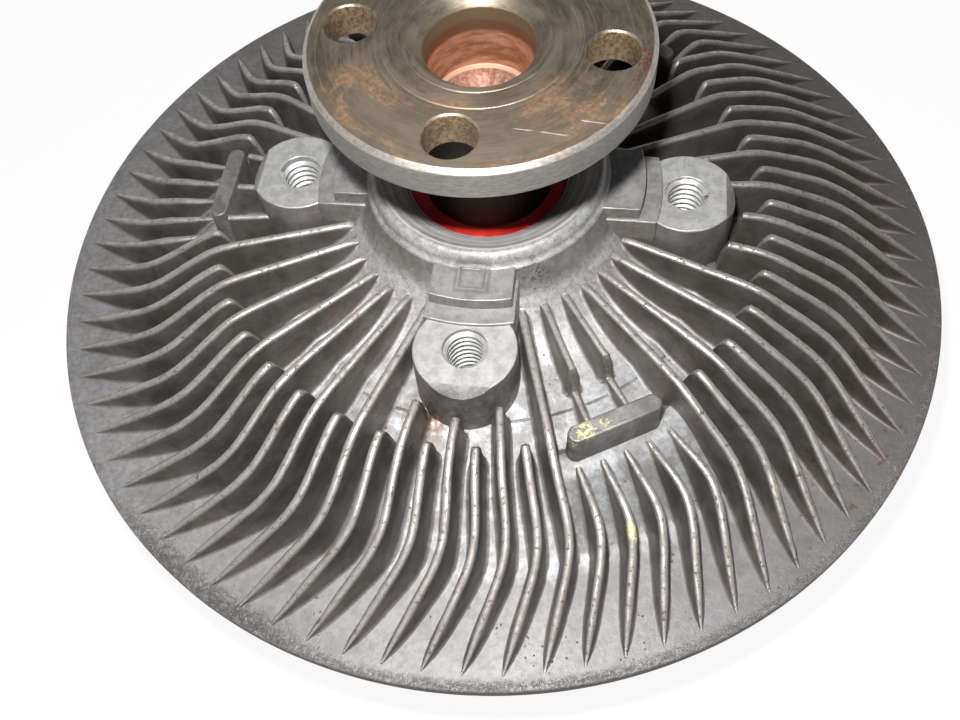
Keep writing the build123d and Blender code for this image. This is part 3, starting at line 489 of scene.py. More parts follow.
tip_rs = [FIN_TIP_R, 88.9, 88.0, 86.5, 84.5, 82.0, 79.5, 77.0, 75.0, 73.0, 71.2, 69.4, 67.5, 65.0, 62.5]
hub_rs = [HUB_NOSE_R + step for step in HUB_NOSE_STEPS]
hub_crest, hub_fatness = nosed(HUB_NOSE_R + NOSE_LENGTH, HUB_NOSE_R, 0.3)
long_fin = fin_mesh(
    tip_rs + [60.0, 58.2, 56.8, 55.4, 53.8, 51.5, 48.0, 44.0, 40.0, 36.0, 32.5] + hub_rs, hub_crest, hub_fatness,
)
boss_fins = [
    fin_mesh(
        tip_rs + [60.0, 58.2, 56.8, 55.4, 53.8, 52.0, 50.5] + [end + step for step in BOSS_NOSE_STEPS],
        *nosed(end + NOSE_LENGTH, end, 0.35)
    )
    for end in BOSS_NOSE_RS
]
short_fin = fin_mesh(
    tip_rs + [60.0, 58.2, 56.8, 55.6, 54.8, 54.2, 53.6, 53.0, 52.5, 52.1, NOSE_END_R],
    *nosed(NOSE_R, NOSE_END_R, 0.55)
)


def apron_height(r):
    """Height of the floor where it is filled outside a bar."""
    return max(floor_height(r), follow(APRON_LINE, r))


def cut_crest(r):
    """Crest of a fin that a bar's clearance cuts level with the apron."""
    return sum(min(follow(FIN_CREST, r + t), APRON_TOP) for t in (-2.4, -1.2, 0, 1.2, 2.4)) / 5


cut_fin = fin_mesh(
    tip_rs + [61.2, 60.4, 59.6, 58.9, 58.2, CUT_FIN_END_R], cut_crest,
    lambda r: tip_fatness(r) * min(1.0, 0.42 + 0.58 * max(0.0, (r - CUT_FIN_END_R) / 9) ** 0.6), apron_height,
)


def stub_crest(r):
    """The inner part of a fin at the front bar: full height at the hub, low from there to the bar."""
    step = min(1.0, max(0.0, (STUB_STEP_R - r) / 1.5)) ** 0.5
    return STUB_LOW * (1 - step) + hub_crest(r) * step


stub_fin = fin_mesh(
    [53.0, 50.0, 47.0, 45.0, STUB_STEP_R, 43.9, 43.7, 43.4, 43.0, 42.5, 41.8, 40.6, 38.5, 35.0, 32.5] + hub_rs,
    stub_crest, lambda r: 0.7 if r > STUB_STEP_R else 0.85 + 0.25 * max(0.0, 1 - abs(r - 42.9) / 1.1),
)
inner_fin = fin_mesh(
    [53.0, 50.0, 47.0, 44.0, 40.0, 36.0, 32.5] + hub_rs, lambda r: min(INNER_FIN_TOP, hub_crest(r)), lambda r: 0.9,
)
boss_stubs = [
    fin_mesh([53.0, 51.0, 49.0, 47.5, end], lambda r: INNER_FIN_TOP, lambda r: 0.9) for end in BOSS_STUB_RS
]
for number in range(FIN_COUNT):
    tip_angle = FIN_FIRST_TIP + number * 360 / FIN_COUNT
    at_bar = any(abs((tip_angle + FIN_LEAD_DEG - bar + 180) % 360 - 180) < BAR_CLEARANCE_DEG for bar in BAR_ANGLES)
    place = number % FINS_PER_BOSS
    shapes = [boss_fins[place != MIDDLE_BOSS_FIN] if place in BOSS_FINS else (short_fin, long_fin)[number % 2]]
    if at_bar:
        inside = boss_stubs[place == MIDDLE_BOSS_FIN] if place in BOSS_FINS else inner_fin
        if number < FINS_PER_BOSS // 2:
            inside = stub_fin
        shapes = [cut_fin] + [inside] * (number % 2)
    for shape in shapes:
        add_turned(housing, shape, tip_angle)

# The aprons between the fins that pass the bars' ends, where the floor is filled up to the cut fins.
apron = marked_mesh()
apron_rs = [APRON_START_R, 53.2, 53.8, 54.6, 55.6, 57.0, 58.2, 59.4, 61.0, 63.0, 65.0, 67.0, 69.0, 70.0]
bmesh.ops.create_grid(apron, x_segments=len(apron_rs) - 1, y_segments=26, size=1.0)
for v in apron.verts:
    r = apron_rs[round((v.co.x + 1) / 2 * (len(apron_rs) - 1))]
    angle = radians(APRON_ANGLES[0] + (v.co.y + 1) / 2 * (APRON_ANGLES[1] - APRON_ANGLES[0]))
    rise = min(1.0, max(0.0, (r - APRON_START_R) / APRON_LIP))
    rise = rise * rise * (3 - 2 * rise)
    filled = sum(apron_height(r + t) for t in (-1.2, 0, 1.2)) / 3
    height = floor_height(r) - 0.1 + rise * (filled - floor_height(r) + 0.1)
    v.co = Vector((r * cos(angle), r * sin(angle), up(height)))
apron_shape = mesh_of("apron", apron)
for fins_on in APRON_FINS:
    add_turned(housing, apron_shape, fins_on * 360 / FIN_COUNT)

# Bumps of casting and use: the fins' crests are nicked and a little uneven, so the light breaks on them.
crest_layer, flank_layer = (housing.verts.layers.float[name] for name in ("crest", "flank"))
for v in housing.verts:
    if v[crest_layer] > 0.2:
        dent = noise.noise(v.co * 0.35) * 0.10 + noise.noise(v.co * 1.3) * 0.09
        v.co.z += (dent - 0.05) * v[crest_layer]


# Fan bosses: four drilled and tapped bosses with machined faces, each with a ledge and a pilot pad towards the
# neck, cast with the housing. The threads are 5/16-18, turned here as a helix.
BOSS_ANGLES = (-99.6, -9.6, 80.4, 170.4)
BOSS_CENTRE_R = 38.1
BOSS_FACE = 22.5
BOSS_R = 9.4
THREAD_PITCH = 25.4 / 18
THREAD_MAJOR_R = 3.97
THREAD_MINOR_R = 3.3
COUNTERSINK_R = 4.2
THREAD_TURNS = 10
THREAD_STEPS = 36
DRILL_END = 15.0
CHAMFER_R = 45.6
CHAMFER_SLOPE = Vector((2.7, 0, 3.0))
WALL_FOOT = 8.0


def boss_body():
    """The boss turned about its own axis, with its outer side chamfered."""
    bm = marked_mesh()
    depth = up(BOSS_FACE) - DRILL_END
    corners = [
        (BOSS_R + 0.5, up(0), 0), (BOSS_R, up(BOSS_FACE), 0.3), (COUNTERSINK_R, up(BOSS_FACE), 0),
        (THREAD_MAJOR_R + 0.05, up(BOSS_FACE) - 0.2, 0), (THREAD_MAJOR_R + 0.05, depth, 0), (0.01, depth - 2.0, 0),
    ]
    outline_of(bm, corners, 3, closed=False)
    revolve(bm, 64)
    bmesh.ops.translate(bm, vec=(BOSS_CENTRE_R, 0, 0), verts=bm.verts)
    cut = bmesh.ops.bisect_plane(
        bm, geom=bm.verts[:] + bm.edges[:] + bm.faces[:], plane_co=(CHAMFER_R, 0, up(BOSS_FACE)),
        plane_no=CHAMFER_SLOPE.normalized(), clear_outer=True,
    )
    bmesh.ops.edgenet_fill(bm, edges=[e for e in cut["geom_cut"] if isinstance(e, bmesh.types.BMEdge)])
    bmesh.ops.recalc_face_normals(bm, faces=bm.faces)
    return mesh_of("boss", bm)


def boss_thread():
    """The helical thread in a boss."""
    bm = marked_mesh()
    top = up(BOSS_FACE) - 0.3
    flat = THREAD_PITCH / 8
    profile = [
        (THREAD_MAJOR_R + 0.1, top), (THREAD_MINOR_R + 0.05, top - THREAD_PITCH / 2 + flat),
        (THREAD_MINOR_R + 0.05, top - THREAD_PITCH / 2 - flat), (THREAD_MAJOR_R + 0.1, top - THREAD_PITCH),
    ]
    points = [bm.verts.new((r, 0, z)) for r, z in profile]
    edges = [bm.edges.new(pair) for pair in zip(points, points[1:])]
    bmesh.ops.spin(
        bm, geom=points + edges, cent=(0, 0, 0), axis=(0, 0, 1), dvec=(0, 0, -THREAD_PITCH / THREAD_STEPS),
        angle=2 * pi * THREAD_TURNS, steps=THREAD_STEPS * THREAD_TURNS,
    )
    bmesh.ops.reverse_faces(bm, faces=bm.faces[:])
    bmesh.ops.translate(bm, vec=(BOSS_CENTRE_R, 0, 0), verts=bm.verts)
    return mesh_of("thread", bm)


def shoulder(inner_x, outer_r, half_w, top, draft, edge):
    """A block from the neck outwards whose outer side is a round wall about the clutch's axis."""
    bm = marked_mesh()
    bmesh.ops.create_grid(bm, x_segments=1, y_segments=10, size=1.0)
    for v in bm.verts:
        y = v.co.y * half_w
        v.co = Vector((inner_x if v.co.x < 0 else sqrt(outer_r**2 - y**2), y, up(top)))
    for v in points_in(bmesh.ops.extrude_face_region(bm, geom=bm.faces[:])["geom"]):
        v.co.z = up(WALL_FOOT)
        v.co.y *= 1 + draft
    bmesh.ops.recalc_face_normals(bm, faces=bm.faces)
    sharp = [e for e in bm.edges if e.calc_face_angle(0) > radians(50)]
    bevel(bm, [e for e in sharp if max(v.co.z for v in e.verts) > up(top) - 0.1], edge, 3, "EDGES", True)
    return mesh_of("shoulder", bm)


def from_boss(place):
    """Distance of a point from the nearest boss's axis."""
    turns = [radians(angle) for angle in BOSS_ANGLES]
    return min(hypot(place.x - BOSS_CENTRE_R * cos(t), place.y - BOSS_CENTRE_R * sin(t)) for t in turns)


# The floor under a boss is pushed down, so that it doesn't cross the tapped hole.
for v in housing.verts:
    if from_boss(v.co) < 6.6 and up(6.0) < v.co.z < up(16.0):
        v.co.z = up(4.7)

ledge = shoulder(inner_x=20.0, outer_r=33.6, half_w=8.2, top=23.1, draft=0.10, edge=0.25)
pilot_pad = shoulder(inner_x=18.5, outer_r=30.2, half_w=7.5, top=25.7, draft=0.10, edge=0.22)
boss_shapes = [boss_body(), boss_thread(), ledge, pilot_pad]
for angle in BOSS_ANGLES:
    for shape in boss_shapes:
        add_turned(housing, shape, angle)


# Three cast bars, 120 degrees apart, that stand across the fins.
BAR_R = 54.4
BAR_LENGTH = 17.8
BAR_W = 3.4
BAR_TOP = 18.0
BAR_FOOT = 5.0
BAR_SPREAD = 0.4
BAR_EDGE = 0.35


bar = marked_mesh()
bmesh.ops.create_circle(bar, cap_ends=True, segments=24, radius=BAR_W / 2)
stretch = (BAR_LENGTH - BAR_W) / 2
for v in bar.verts:
    if abs(v.co.y) > 1e-5:
        v.co.y += stretch if v.co.y > 0 else -stretch
    v.co.z = up(BAR_TOP)
for v in points_in(bmesh.ops.extrude_face_region(bar, geom=bar.faces[:])["geom"]):
    v.co.z = up(BAR_FOOT)
    v.co.x *= 1 + 2 * BAR_SPREAD / BAR_W
    v.co.y *= 1 + 2 * BAR_SPREAD / BAR_LENGTH
bmesh.ops.recalc_face_normals(bar, faces=bar.faces)
sharp = [e for e in bar.edges if e.calc_face_angle(0) > radians(50)]
bevel(bar, [e for e in sharp if min(v.co.z for v in e.verts) > up(BAR_TOP) - 0.1], BAR_EDGE, 3, "EDGES")
# The bar's sides, and in part its top, take the darker flank colour, which is painted shade.
for v in bar.verts:
    on_top = v.co.z > up(BAR_TOP) - 0.5
    v[bar.verts.layers.float["crest"]] = 0.3 if on_top else 0.0
    v[bar.verts.layers.float["flank"]] = 0.6 if on_top else 0.9
bmesh.ops.translate(bar, vec=(BAR_R, 0, 0), verts=bar.verts)
bar_shape = mesh_of("bar", bar)
for angle in BAR_ANGLES:
    add_turned(housing, bar_shape, angle)

# A plain raised frame on the front pad, where the casting carries a foundry mark.
MARK_R = (22.9, 28.1)
MARK_HALF_W = 2.8
MARK_LINE = 0.42
MARK_TOP = 25.95
MARK_DEPTH = 0.35
mark = marked_mesh()
bmesh.ops.create_grid(mark, x_segments=1, y_segments=1, size=1.0)
for v in mark.verts:
    v.co = Vector((MARK_R[0] if v.co.x < 0 else MARK_R[1], v.co.y * MARK_HALF_W, up(MARK_TOP)))
bmesh.ops.inset_region(mark, faces=mark.faces[:], thickness=MARK_LINE, use_even_offset=True, use_boundary=True)
bmesh.ops.delete(mark, geom=[max(mark.faces, key=lambda f: f.calc_area())], context="FACES_ONLY")
walls = bmesh.ops.extrude_face_region(mark, geom=mark.faces[:])["geom"]
bmesh.ops.translate(mark, vec=(0, 0, -MARK_DEPTH), verts=points_in(walls))
bmesh.ops.recalc_face_normals(mark, faces=mark.faces)
add_turned(housing, mesh_of("mark", mark), BOSS_ANGLES[0])

# The faces that are machined after casting: the bosses' and pads' tops, the threads and the neck's mouth.
SEATS_ABOVE = 22.2
SEATS_FROM_R = 22.8
SEATS_TO_R = 48
MOUTH_ABOVE = 24.5
MOUTH_R = 21.2
BEARING_SEAT_ABOVE = 53
BEARING_SEAT_R = 16
HOLE_REACH = 4.4
WALL_FLANK = 0.75
machined_layer = housing.faces.layers.float.new("machined")
housing.normal_update()
for f in housing.faces:
    spot = f.calc_center_median()
    reach = hypot(spot.x, spot.y)
    seat = f.normal.z > 0.9 and spot.z > up(SEATS_ABOVE) and SEATS_FROM_R < reach < SEATS_TO_R
    mouth = spot.z > up(MOUTH_ABOVE) and reach < MOUTH_R or spot.z > BEARING_SEAT_ABOVE and reach < BEARING_SEAT_R
    thread = from_boss(spot) < HOLE_REACH
    f[machined_layer] = 1.0 if seat or mouth or thread else 0.0
    # Steep walls near the bosses and pads take the darker flank colour: partly dark grime, partly painted shade.
    if len(f.verts) < 5 and abs(f.normal.z) < 0.4 and 24 < reach < 49 and not thread:
        for v in f.verts:
            v[flank_layer] = max(v[flank_layer], WALL_FLANK)

# The casting's finish: satin aluminium, brown-grey, pale matte on the machined faces, mottled with stains towards the
# rim. The fins' flanks are darker, partly their own stain and partly painted shade; the crests are lighter, partly
# rubbed metal and partly painted highlight.
cast = Finish("cast_aluminium", {"Specular IOR Level": 0.5})
x, y, z = cast.xyz()
radius = (x * x + y * y) ** 0.5
blotch = cast.noise(7.0, 6, 0.66, distortion=0.5)
stain = cast.noise(20.0, 6, 0.68, distortion=0.8)
fine = cast.noise(1.1, 6, 0.74)
grain = cast.noise(0.35, 3, 0.65)
crest = cast.attribute("crest")
flank = cast.attribute("flank")
machined = cast.attribute("machined")
painted_shade_right_back = (x * 0.62 + y * 0.78).over(-0.035, 0.075)
rim_zone = radius.over(0.066, 0.080)
floor_tone = cast.mix(blotch.over(0.36, 0.64), grey(0.215, 0.01), grey(0.385, -0.022))
floor_tone = cast.mix(cast.noise(2.2, 5, 0.7).over(0.40, 0.60) * 0.30, floor_tone, (0.150, 0.148, 0.150, 1))
floor_tone = cast.mix(radius.over(0.048, 0.036) * 0.50, floor_tone, grey(0.50, 0.01))
floor_tone = cast.mix(stain.over(0.50, 0.68) * 0.5, floor_tone, (0.20, 0.180, 0.165, 1))
floor_tone = cast.mix(rim_zone * blotch.over(0.42, 0.58) * 0.55, floor_tone, (0.22, 0.205, 0.20, 1))
# The flanks' darker colour is partly the casting's brown stain and partly painted shade.
flank_tone = cast.mix(blotch.over(0.38, 0.62) * 0.6 + fine * 0.4, (0.105, 0.088, 0.073, 1), (0.26, 0.238, 0.215, 1))
# Painted shade: the rim is darkened towards the front right.
floor_tone = cast.mix(rim_zone * (x - y).over(-0.03, 0.05) * 0.45, floor_tone, (0.10, 0.094, 0.092, 1))
tone = cast.mix(flank * 0.9, floor_tone, flank_tone)
tone = cast.mix((fine.over(0.46, 0.60) * 0.55 + grain.over(0.48, 0.66) * 0.35) * 0.6, tone, (0.14, 0.122, 0.108, 1))
# The crests' lighter colour is partly rubbed metal and partly painted highlight.
worn = cast.noise(2.5, 4).over(0.36, 0.60)
bright = crest.over(0.30, 0.95)
tone = cast.mix(bright * 0.85, tone, cast.mix(worn, (0.26, 0.236, 0.210, 1), (0.44, 0.416, 0.388, 1)))
# Painted shade: the casting is darkened towards its right and back, less on the crests.
tone = cast.mix(painted_shade_right_back * (0.62 - 0.30 * bright), tone, (0.075, 0.060, 0.050, 1))
soot = cast.near((-4.0, -50.0, 36.0), 10.0, 26.0) * cast.noise(3.0, 5, 0.72).over(0.42, 0.58) * (1 - bright)
tone = cast.mix(soot * 0.6, tone, (0.095, 0.084, 0.075, 1))
nick = cast.noise(0.8, 3, 0.7).over(0.58, 0.66) * crest.over(0.1, 0.5)
tone = cast.mix(nick * 0.7, tone, (0.075, 0.060, 0.048, 1))
seat_cloud = cast.noise(2.6, 6, 0.72)
seat_level = z.over(0.0530, 0.0527)
machined_tone = cast.mix(seat_cloud.over(0.35, 0.65), grey(0.19, 0.03), grey(0.30, 0.02))
boss_tone = cast.mix(seat_cloud.over(0.35, 0.65), grey(0.31, 0.02), grey(0.45, 0.01))
machined_tone = cast.mix(seat_level, machined_tone, boss_tone)
machined_tone = cast.mix(fine.over(0.53, 0.66) * 0.4, machined_tone, (0.20, 0.185, 0.165, 1))
mouth = radius.over(0.0216, 0.0212) * z.over(0.0540, 0.0546) * machined
mouth_ring = cast.rings(0.9, radius)
machined_tone = cast.mix(mouth * mouth_ring.over(0.42, 0.60) * 0.6, machined_tone, grey(0.60, 0.02))
tone = cast.mix(machined, tone, machined_tone)
pits = cast.node("ShaderNodeTexVoronoi", {}, {"Vector": cast.place, "Scale": 1 / (1.2 * MM)}).over(0.18, 0.05)
pits = pits * cast.noise(9.0, 2).over(0.54, 0.64) * (1 - machined * 0.7)
pits = pits + cast.near((6.5, -21.0, 52.5), 1.5, 5.5) * cast.noise(0.8, 2, 0.6).over(0.58, 0.63)
tone = cast.mix(pits * 0.8, tone, (0.035, 0.030, 0.025, 1))
neck_grime = cast.noise(1.6, 5, 0.75).over(0.48, 0.60) * radius.over(0.0345, 0.028) * (1 - machined)
tone = cast.mix(neck_grime * 0.35, tone, (0.11, 0.095, 0.082, 1))
turned = radians(BOSS_ANGLES[0])
along = abs(x * cos(turned) + y * sin(turned) - sum(MARK_R) / 2 * MM)
across = abs(y * cos(turned) - x * sin(turned))
reach = (along - (MARK_R[1] - MARK_R[0]) / 2 * MM).or_more(across - MARK_HALF_W * MM)
# Painted shade along the foot of the raised frame, on both sides of its line.
shade_round_mark = reach.over(0.75 * MM, 0.15 * MM) * reach.over(-1.25 * MM, -0.60 * MM)
shade_round_mark = shade_round_mark * (1 - reach.over(0.10 * MM, 0.0) * reach.over(-0.50 * MM, -0.40 * MM)) * z.over(0.0554, 0.0556)
tone = cast.mix(shade_round_mark * 0.6, tone, (0.13, 0.115, 0.10, 1))
# Flecks of yellow paint on the front bar and the fins near it, and one fleck of it at the right. Each has its place,
# inner and outer reach, share and threshold.
PAINT_FLECKS = (
    ((13.5, -53.0, 48.0), 0.8, 4.0, 0.235, 0.72),
    ((10.6, -54.6, 46.2), 0.4, 3.6, 0.23, 0.72),
    ((17.0, -51.8, 48.0), 0.4, 2.6, 0.20, 0.72),
    ((20.4, -68.6, 39.3), 0.6, 3.4, 0.30, 0.71),
)
FAR_FLECK = (47.7, -60.6, 36.0)
paint = cast.noise(0.75, 5, 0.85)
yellow = (cast.near(FAR_FLECK, 0.6, 4.0) * 0.22 + paint).over(0.74, 0.76) * cast.near(FAR_FLECK, 3.0, 5.0)
for spot, inner, outer, share, least in PAINT_FLECKS:
    yellow = yellow + (cast.near(spot, inner, outer) * share + paint).over(least, least + 0.02)
yellow = yellow * (cast.near((15.0, -60.0, 43.0), 14.0, 15.0) + cast.near(FAR_FLECK, 5.0, 6.0))
paint_tone = cast.mix(fine.over(0.35, 0.65), (0.46, 0.42, 0.15, 1), (0.80, 0.76, 0.46, 1))
tone = cast.mix(yellow.over(0.1, 0.9), tone, paint_tone)
chalk = cast.near((-17.3, -43.6, 44.5), 1.2, 3.4) * 0.30 + cast.near((-18.9, -46.4, 44.5), 0.8, 3.0) * 0.28 + paint
tone = cast.mix(chalk.over(0.70, 0.73) * cast.near((-18.0, -45.0, 44.5), 4.5, 5.0), tone, (0.86, 0.85, 0.82, 1))
rusty = cast.near((-14.8, -44.2, 40.0), 2.0, 6.5) * fine.over(0.42, 0.54)
rusty_rim = cast.near((60.0, -52.0, 34.0), 6.0, 34.0) * radius.over(0.072, 0.077)
rusty = rusty + rusty_rim * cast.noise(1.6, 3).over(0.60, 0.66)
tone = cast.mix(rusty * 0.8, tone, (0.13, 0.065, 0.03, 1))
chipped = cast.near((-58.0, -70.0, 30.0), 8.0, 30.0) * radius.over(0.0868, 0.0900) + radius.over(0.0895, 0.0912) * 0.5
chipped = chipped * cast.noise(1.3, 5, 0.8, distortion=0.8).over(0.42, 0.58)
tone = cast.mix(chipped * 0.40, tone, (0.12, 0.105, 0.095, 1))
# Painted shade: the rim's outer side wall is darkened.
edge = z.over(0.02985, 0.0297) * radius.over(0.0900, 0.0905)
tone = cast.mix(edge * 0.9, tone, (0.050, 0.036, 0.030, 1))
roughness = 0.46 + 0.14 * fine - 0.06 * flank - 0.15 * bright * worn - 0.06 * machined
cast.plug(cast.shader.inputs["Metallic"], 0.42 + 0.30 * flank * (1 - machined) + 0.25 * bright * worn - 0.30 * mouth)
height = fine * 0.5 + grain * 0.3 + blotch * 0.2 - pits * 1.2 - nick * 0.6 + chipped * 0.9 + mouth * mouth_ring * 0.25
cast_material = cast.done(tone, roughness, height, 0.16, 0.85)
casting = part("housing_casting", housing, cast_material, "housing", "rear_housing")
for f, cut in zip(casting.data.polygons, casting.data.attributes["machined"].data):
    if len(f.vertices) > 8 or cut.value > 0.5 and f.normal.z > 0.999:
        f.use_smooth = False


# The bearing: ground steel rings with eight balls in a brass cage, closed by two red rubber seals and held by a
# spring ring. The CAD solids are shown as they are.
def dress(material, *names):
    """Gives carried-over CAD solids their finish."""
    for name in names:
        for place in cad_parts[name].material_slots:
            place.material = material


def turned_metal(name, dark, light, roughness, tool_mm=0.5):
    """A turned or rolled metal with tool rings and a light haze of handling."""
    metal = Finish(name, {"Metallic": 1.0})
    x, y, z = metal.xyz()
    rings = metal.rings(tool_mm, (x * x + y * y) ** 0.5)
    haze = metal.noise(6.0, 5, 0.65)
    tone = metal.mix(haze.over(0.3, 0.7), dark, light)
    gloss = roughness + 0.12 * haze + 0.08 * rings
    return metal.done(tone, gloss, rings * 0.7 + metal.noise(0.4, 3) * 0.3, 0.01, 0.6)


dress(
    turned_metal("bearing_steel", grey(0.50, 0.01), grey(0.64), 0.14, 0.3),
    "bearing_outer_race", "bearing_inner_race", "bearing_balls",
)
dress(turned_metal("cage_brass", (0.50, 0.35, 0.14, 1), (0.66, 0.50, 0.24, 1), 0.26), "bearing_cage")
dress(
    turned_metal("spring_steel", (0.10, 0.10, 0.105, 1), (0.20, 0.19, 0.18, 1), 0.34, 0.4),
    "bearing_snap_ring", "valve_arm_clip",
)


def rubber(name, dark, light):
    """Moulded rubber with dust in its pores."""
    soft = Finish(name, {"Metallic": 0.0, "Specular IOR Level": 0.4})
    cloud = soft.noise(5.0, 5, 0.6)
    pore = soft.noise(0.35, 3)
    return soft.done(soft.mix(cloud.over(0.35, 0.65), dark, light), 0.48 + 0.22 * pore, pore, 0.02, 0.7)


dress(
    rubber("seal_rubber", (0.46, 0.012, 0.010, 1), (0.66, 0.030, 0.022, 1)),
    "upper_bearing_seal", "lower_bearing_seal",
)
dress(
    rubber("black_rubber", (0.012, 0.012, 0.013, 1), (0.030, 0.029, 0.028, 1)),
    "cover_seal_ring", "valve_shaft_o_ring",
)


# The input shaft with its drive flange, turned from one steel forging and drilled: grey-brown and rusty on the face,
# coppery in the bore, bright where its edges are rubbed and with painted highlight there, and near black below the
# flange as painted shade. It is a copy of the solid with its edges broken.
EDGE_ANGLE = 32.0


def edged(node, name, material, body, edge_mm, reshape=None):
    """A copy of a CAD solid with merged points and slightly broken edges, which stands for it."""
    bm = bmesh.new()
    bm.from_mesh(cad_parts[node].data)
    bmesh.ops.transform(bm, matrix=Matrix.Scale(1 / MM, 4), verts=bm.verts)
    bmesh.ops.remove_doubles(bm, verts=bm.verts, dist=1e-3)
    bmesh.ops.dissolve_limit(bm, angle_limit=radians(0.4), verts=bm.verts, edges=bm.edges)
    if reshape:
        reshape(bm)
    made = part(name, bm, material, body, node, EDGE_ANGLE)
    broken = made.modifiers.new("edge", "BEVEL")
    broken.width = edge_mm * MM
    broken.segments = 2
    broken.limit_method = "ANGLE"
    broken.angle_limit = radians(EDGE_ANGLE)
    broken.use_clamp_overlap = True
    broken.harden_normals = True
    return made


FLANGE_FACE = 88.5
FLANGE_R = 29.35
BORE_R = 9.53
BORE_SINK = 2.5
HOLE_ANGLES = (-14.6, 75.4, 165.4, 255.4)
HOLE_CIRCLE_R = 22.225
SCRATCHES = ((14.3, -20.2, 5.0, -16.2), (8.0, -21.9, 5.2, -17.3), (4.0, -20.9, 4.0, -14.0))

steel = Finish("forged_steel", {"Metallic": 0.8})
x, y, z = steel.xyz()
radius = (x * x + y * y) ** 0.5
swirl = steel.node("ShaderNodeCombineXYZ", {}, {0: x * 0.10, 1: y * 0.10, 2: radius})
smear = steel.node("ShaderNodeCombineXYZ", {}, {0: x * 0.55, 1: y * 0.55, 2: radius})
streak = steel.noise(0.55, 4, 0.7, where=swirl)
ring = steel.rings(0.7, radius)
cloud = steel.noise(6.0, 6, 0.68, where=smear, distortion=0.4)
patch = steel.noise(7.0, 6, 0.72, where=smear, distortion=1.0)
speck = steel.noise(0.7, 4, 0.72)
on_face = z.over((FLANGE_FACE - 0.45) * MM, (FLANGE_FACE - 0.2) * MM)
tone = steel.mix(cloud.over(0.36, 0.62), (0.115, 0.096, 0.069, 1), (0.225, 0.192, 0.145, 1))
tone = steel.mix(streak.over(0.52, 0.68) * 0.35, tone, (0.33, 0.30, 0.25, 1))
tone = steel.mix(streak.over(0.44, 0.30) * 0.55, tone, (0.060, 0.052, 0.040, 1))
ring_line = ring.over(0.62, 0.70)
tone = steel.mix(ring_line * on_face * 0.22, tone, (0.42, 0.38, 0.32, 1))
front = (y + x * 0.15).over(-0.006, -0.020)
tone = steel.mix(front * on_face * 0.42, tone, (0.35, 0.272, 0.200, 1))
rust = patch.over(0.46, 0.66) * (0.25 + 0.6 * front)
rust = rust + steel.near((13.5, -18.5, FLANGE_FACE), 3.0, 11.0) * patch.over(0.36, 0.56)
rust = rust + steel.near((-20.0, -10.0, FLANGE_FACE), 2.0, 9.0) * patch.over(0.40, 0.60) * 0.7
rust = rust.over(0.0, 1.0) * on_face * (0.55 + 0.45 * streak.over(0.30, 0.55))
rust_tone = steel.mix(speck.over(0.35, 0.65), (0.23, 0.115, 0.058, 1), (0.38, 0.235, 0.145, 1))
tone = steel.mix(rust * 0.72, tone, rust_tone)
red_edge = steel.near((26.5, -9.0, FLANGE_FACE), 0.5, 9.5) * speck.over(0.50, 0.58) * radius.over(0.0255, 0.0272)
tone = steel.mix(red_edge * 0.85, tone, (0.20, 0.055, 0.030, 1))
marks = 0.0
for start_x, start_y, length, turn in SCRATCHES:
    along = (x - start_x * MM) * cos(radians(turn)) + (y - start_y * MM) * sin(radians(turn))
    across = (y - start_y * MM) * cos(radians(turn)) - (x - start_x * MM) * sin(radians(turn))
    line = (across * across).over((0.12 * MM) ** 2, (0.03 * MM) ** 2)
    marks = marks + line * along.over(0, 0.8 * MM) * along.over(length * MM, (length - 1.6) * MM)
marks = marks * on_face
tone = steel.mix(marks * 0.75, tone, (0.80, 0.68, 0.56, 1))
in_bore = radius.over((BORE_R + 0.25) * MM, (BORE_R + 0.05) * MM) * z.over(64 * MM, 66 * MM)
coil = steel.node("ShaderNodeCombineXYZ", {}, {0: x * 0.25, 1: y * 0.25, 2: z})
band = steel.noise(1.3, 5, 0.7, where=coil)
copper = steel.mix(band.over(0.36, 0.64), (0.30, 0.130, 0.062, 1), (0.56, 0.300, 0.185, 1))
dark_band = z.over(81.0 * MM, 82.0 * MM) * band.over(0.22, 0.50)
copper = steel.mix(dark_band * 0.8, copper, (0.115, 0.058, 0.034, 1))
copper = steel.mix(z.over(83.2 * MM, 84.4 * MM) * 0.8, copper, (0.20, 0.155, 0.098, 1))
bottom = z.over(73.9 * MM, 73.6 * MM)
bottom_tone = steel.mix(speck.over(0.40, 0.60), (0.15, 0.074, 0.056, 1), (0.29, 0.19, 0.155, 1))
copper = steel.mix(bottom * 0.85, copper, bottom_tone)
copper = steel.mix(z.over(73.5 * MM, 73.7 * MM) * z.over(74.1 * MM, 73.9 * MM) * 0.8, copper, (0.62, 0.44, 0.34, 1))
tone = steel.mix(in_bore, tone, copper)
flat = steel.node("ShaderNodeCombineXYZ", {}, {0: x, 1: y})
for angle in HOLE_ANGLES:
    spot = (HOLE_CIRCLE_R * MM * cos(radians(angle)), HOLE_CIRCLE_R * MM * sin(radians(angle)), 0)
    gap = steel.node("ShaderNodeVectorMath", {"operation": "DISTANCE"}, {0: flat, 1: spot}, "Value")
    wall = gap.over(4.62 * MM, 4.52 * MM) * z.over(88.35 * MM, 88.0 * MM)
    rust_wall = steel.mix(speck.over(0.36, 0.62), (0.20, 0.115, 0.055, 1), (0.46, 0.350, 0.225, 1))
    tone = steel.mix(wall, tone, steel.mix(z.over(87.6 * MM, 85.6 * MM) * 0.35, rust_wall, (0.11, 0.09, 0.07, 1)))
rim_wall = radius.over((FLANGE_R - 0.15) * MM, (FLANGE_R - 0.02) * MM)
hoop = steel.noise(0.35, 4, 0.7, where=coil)
tone = steel.mix(rim_wall * 0.85, tone, steel.mix(hoop.over(0.35, 0.65), grey(0.30, 0.05), grey(0.44, 0.04)))
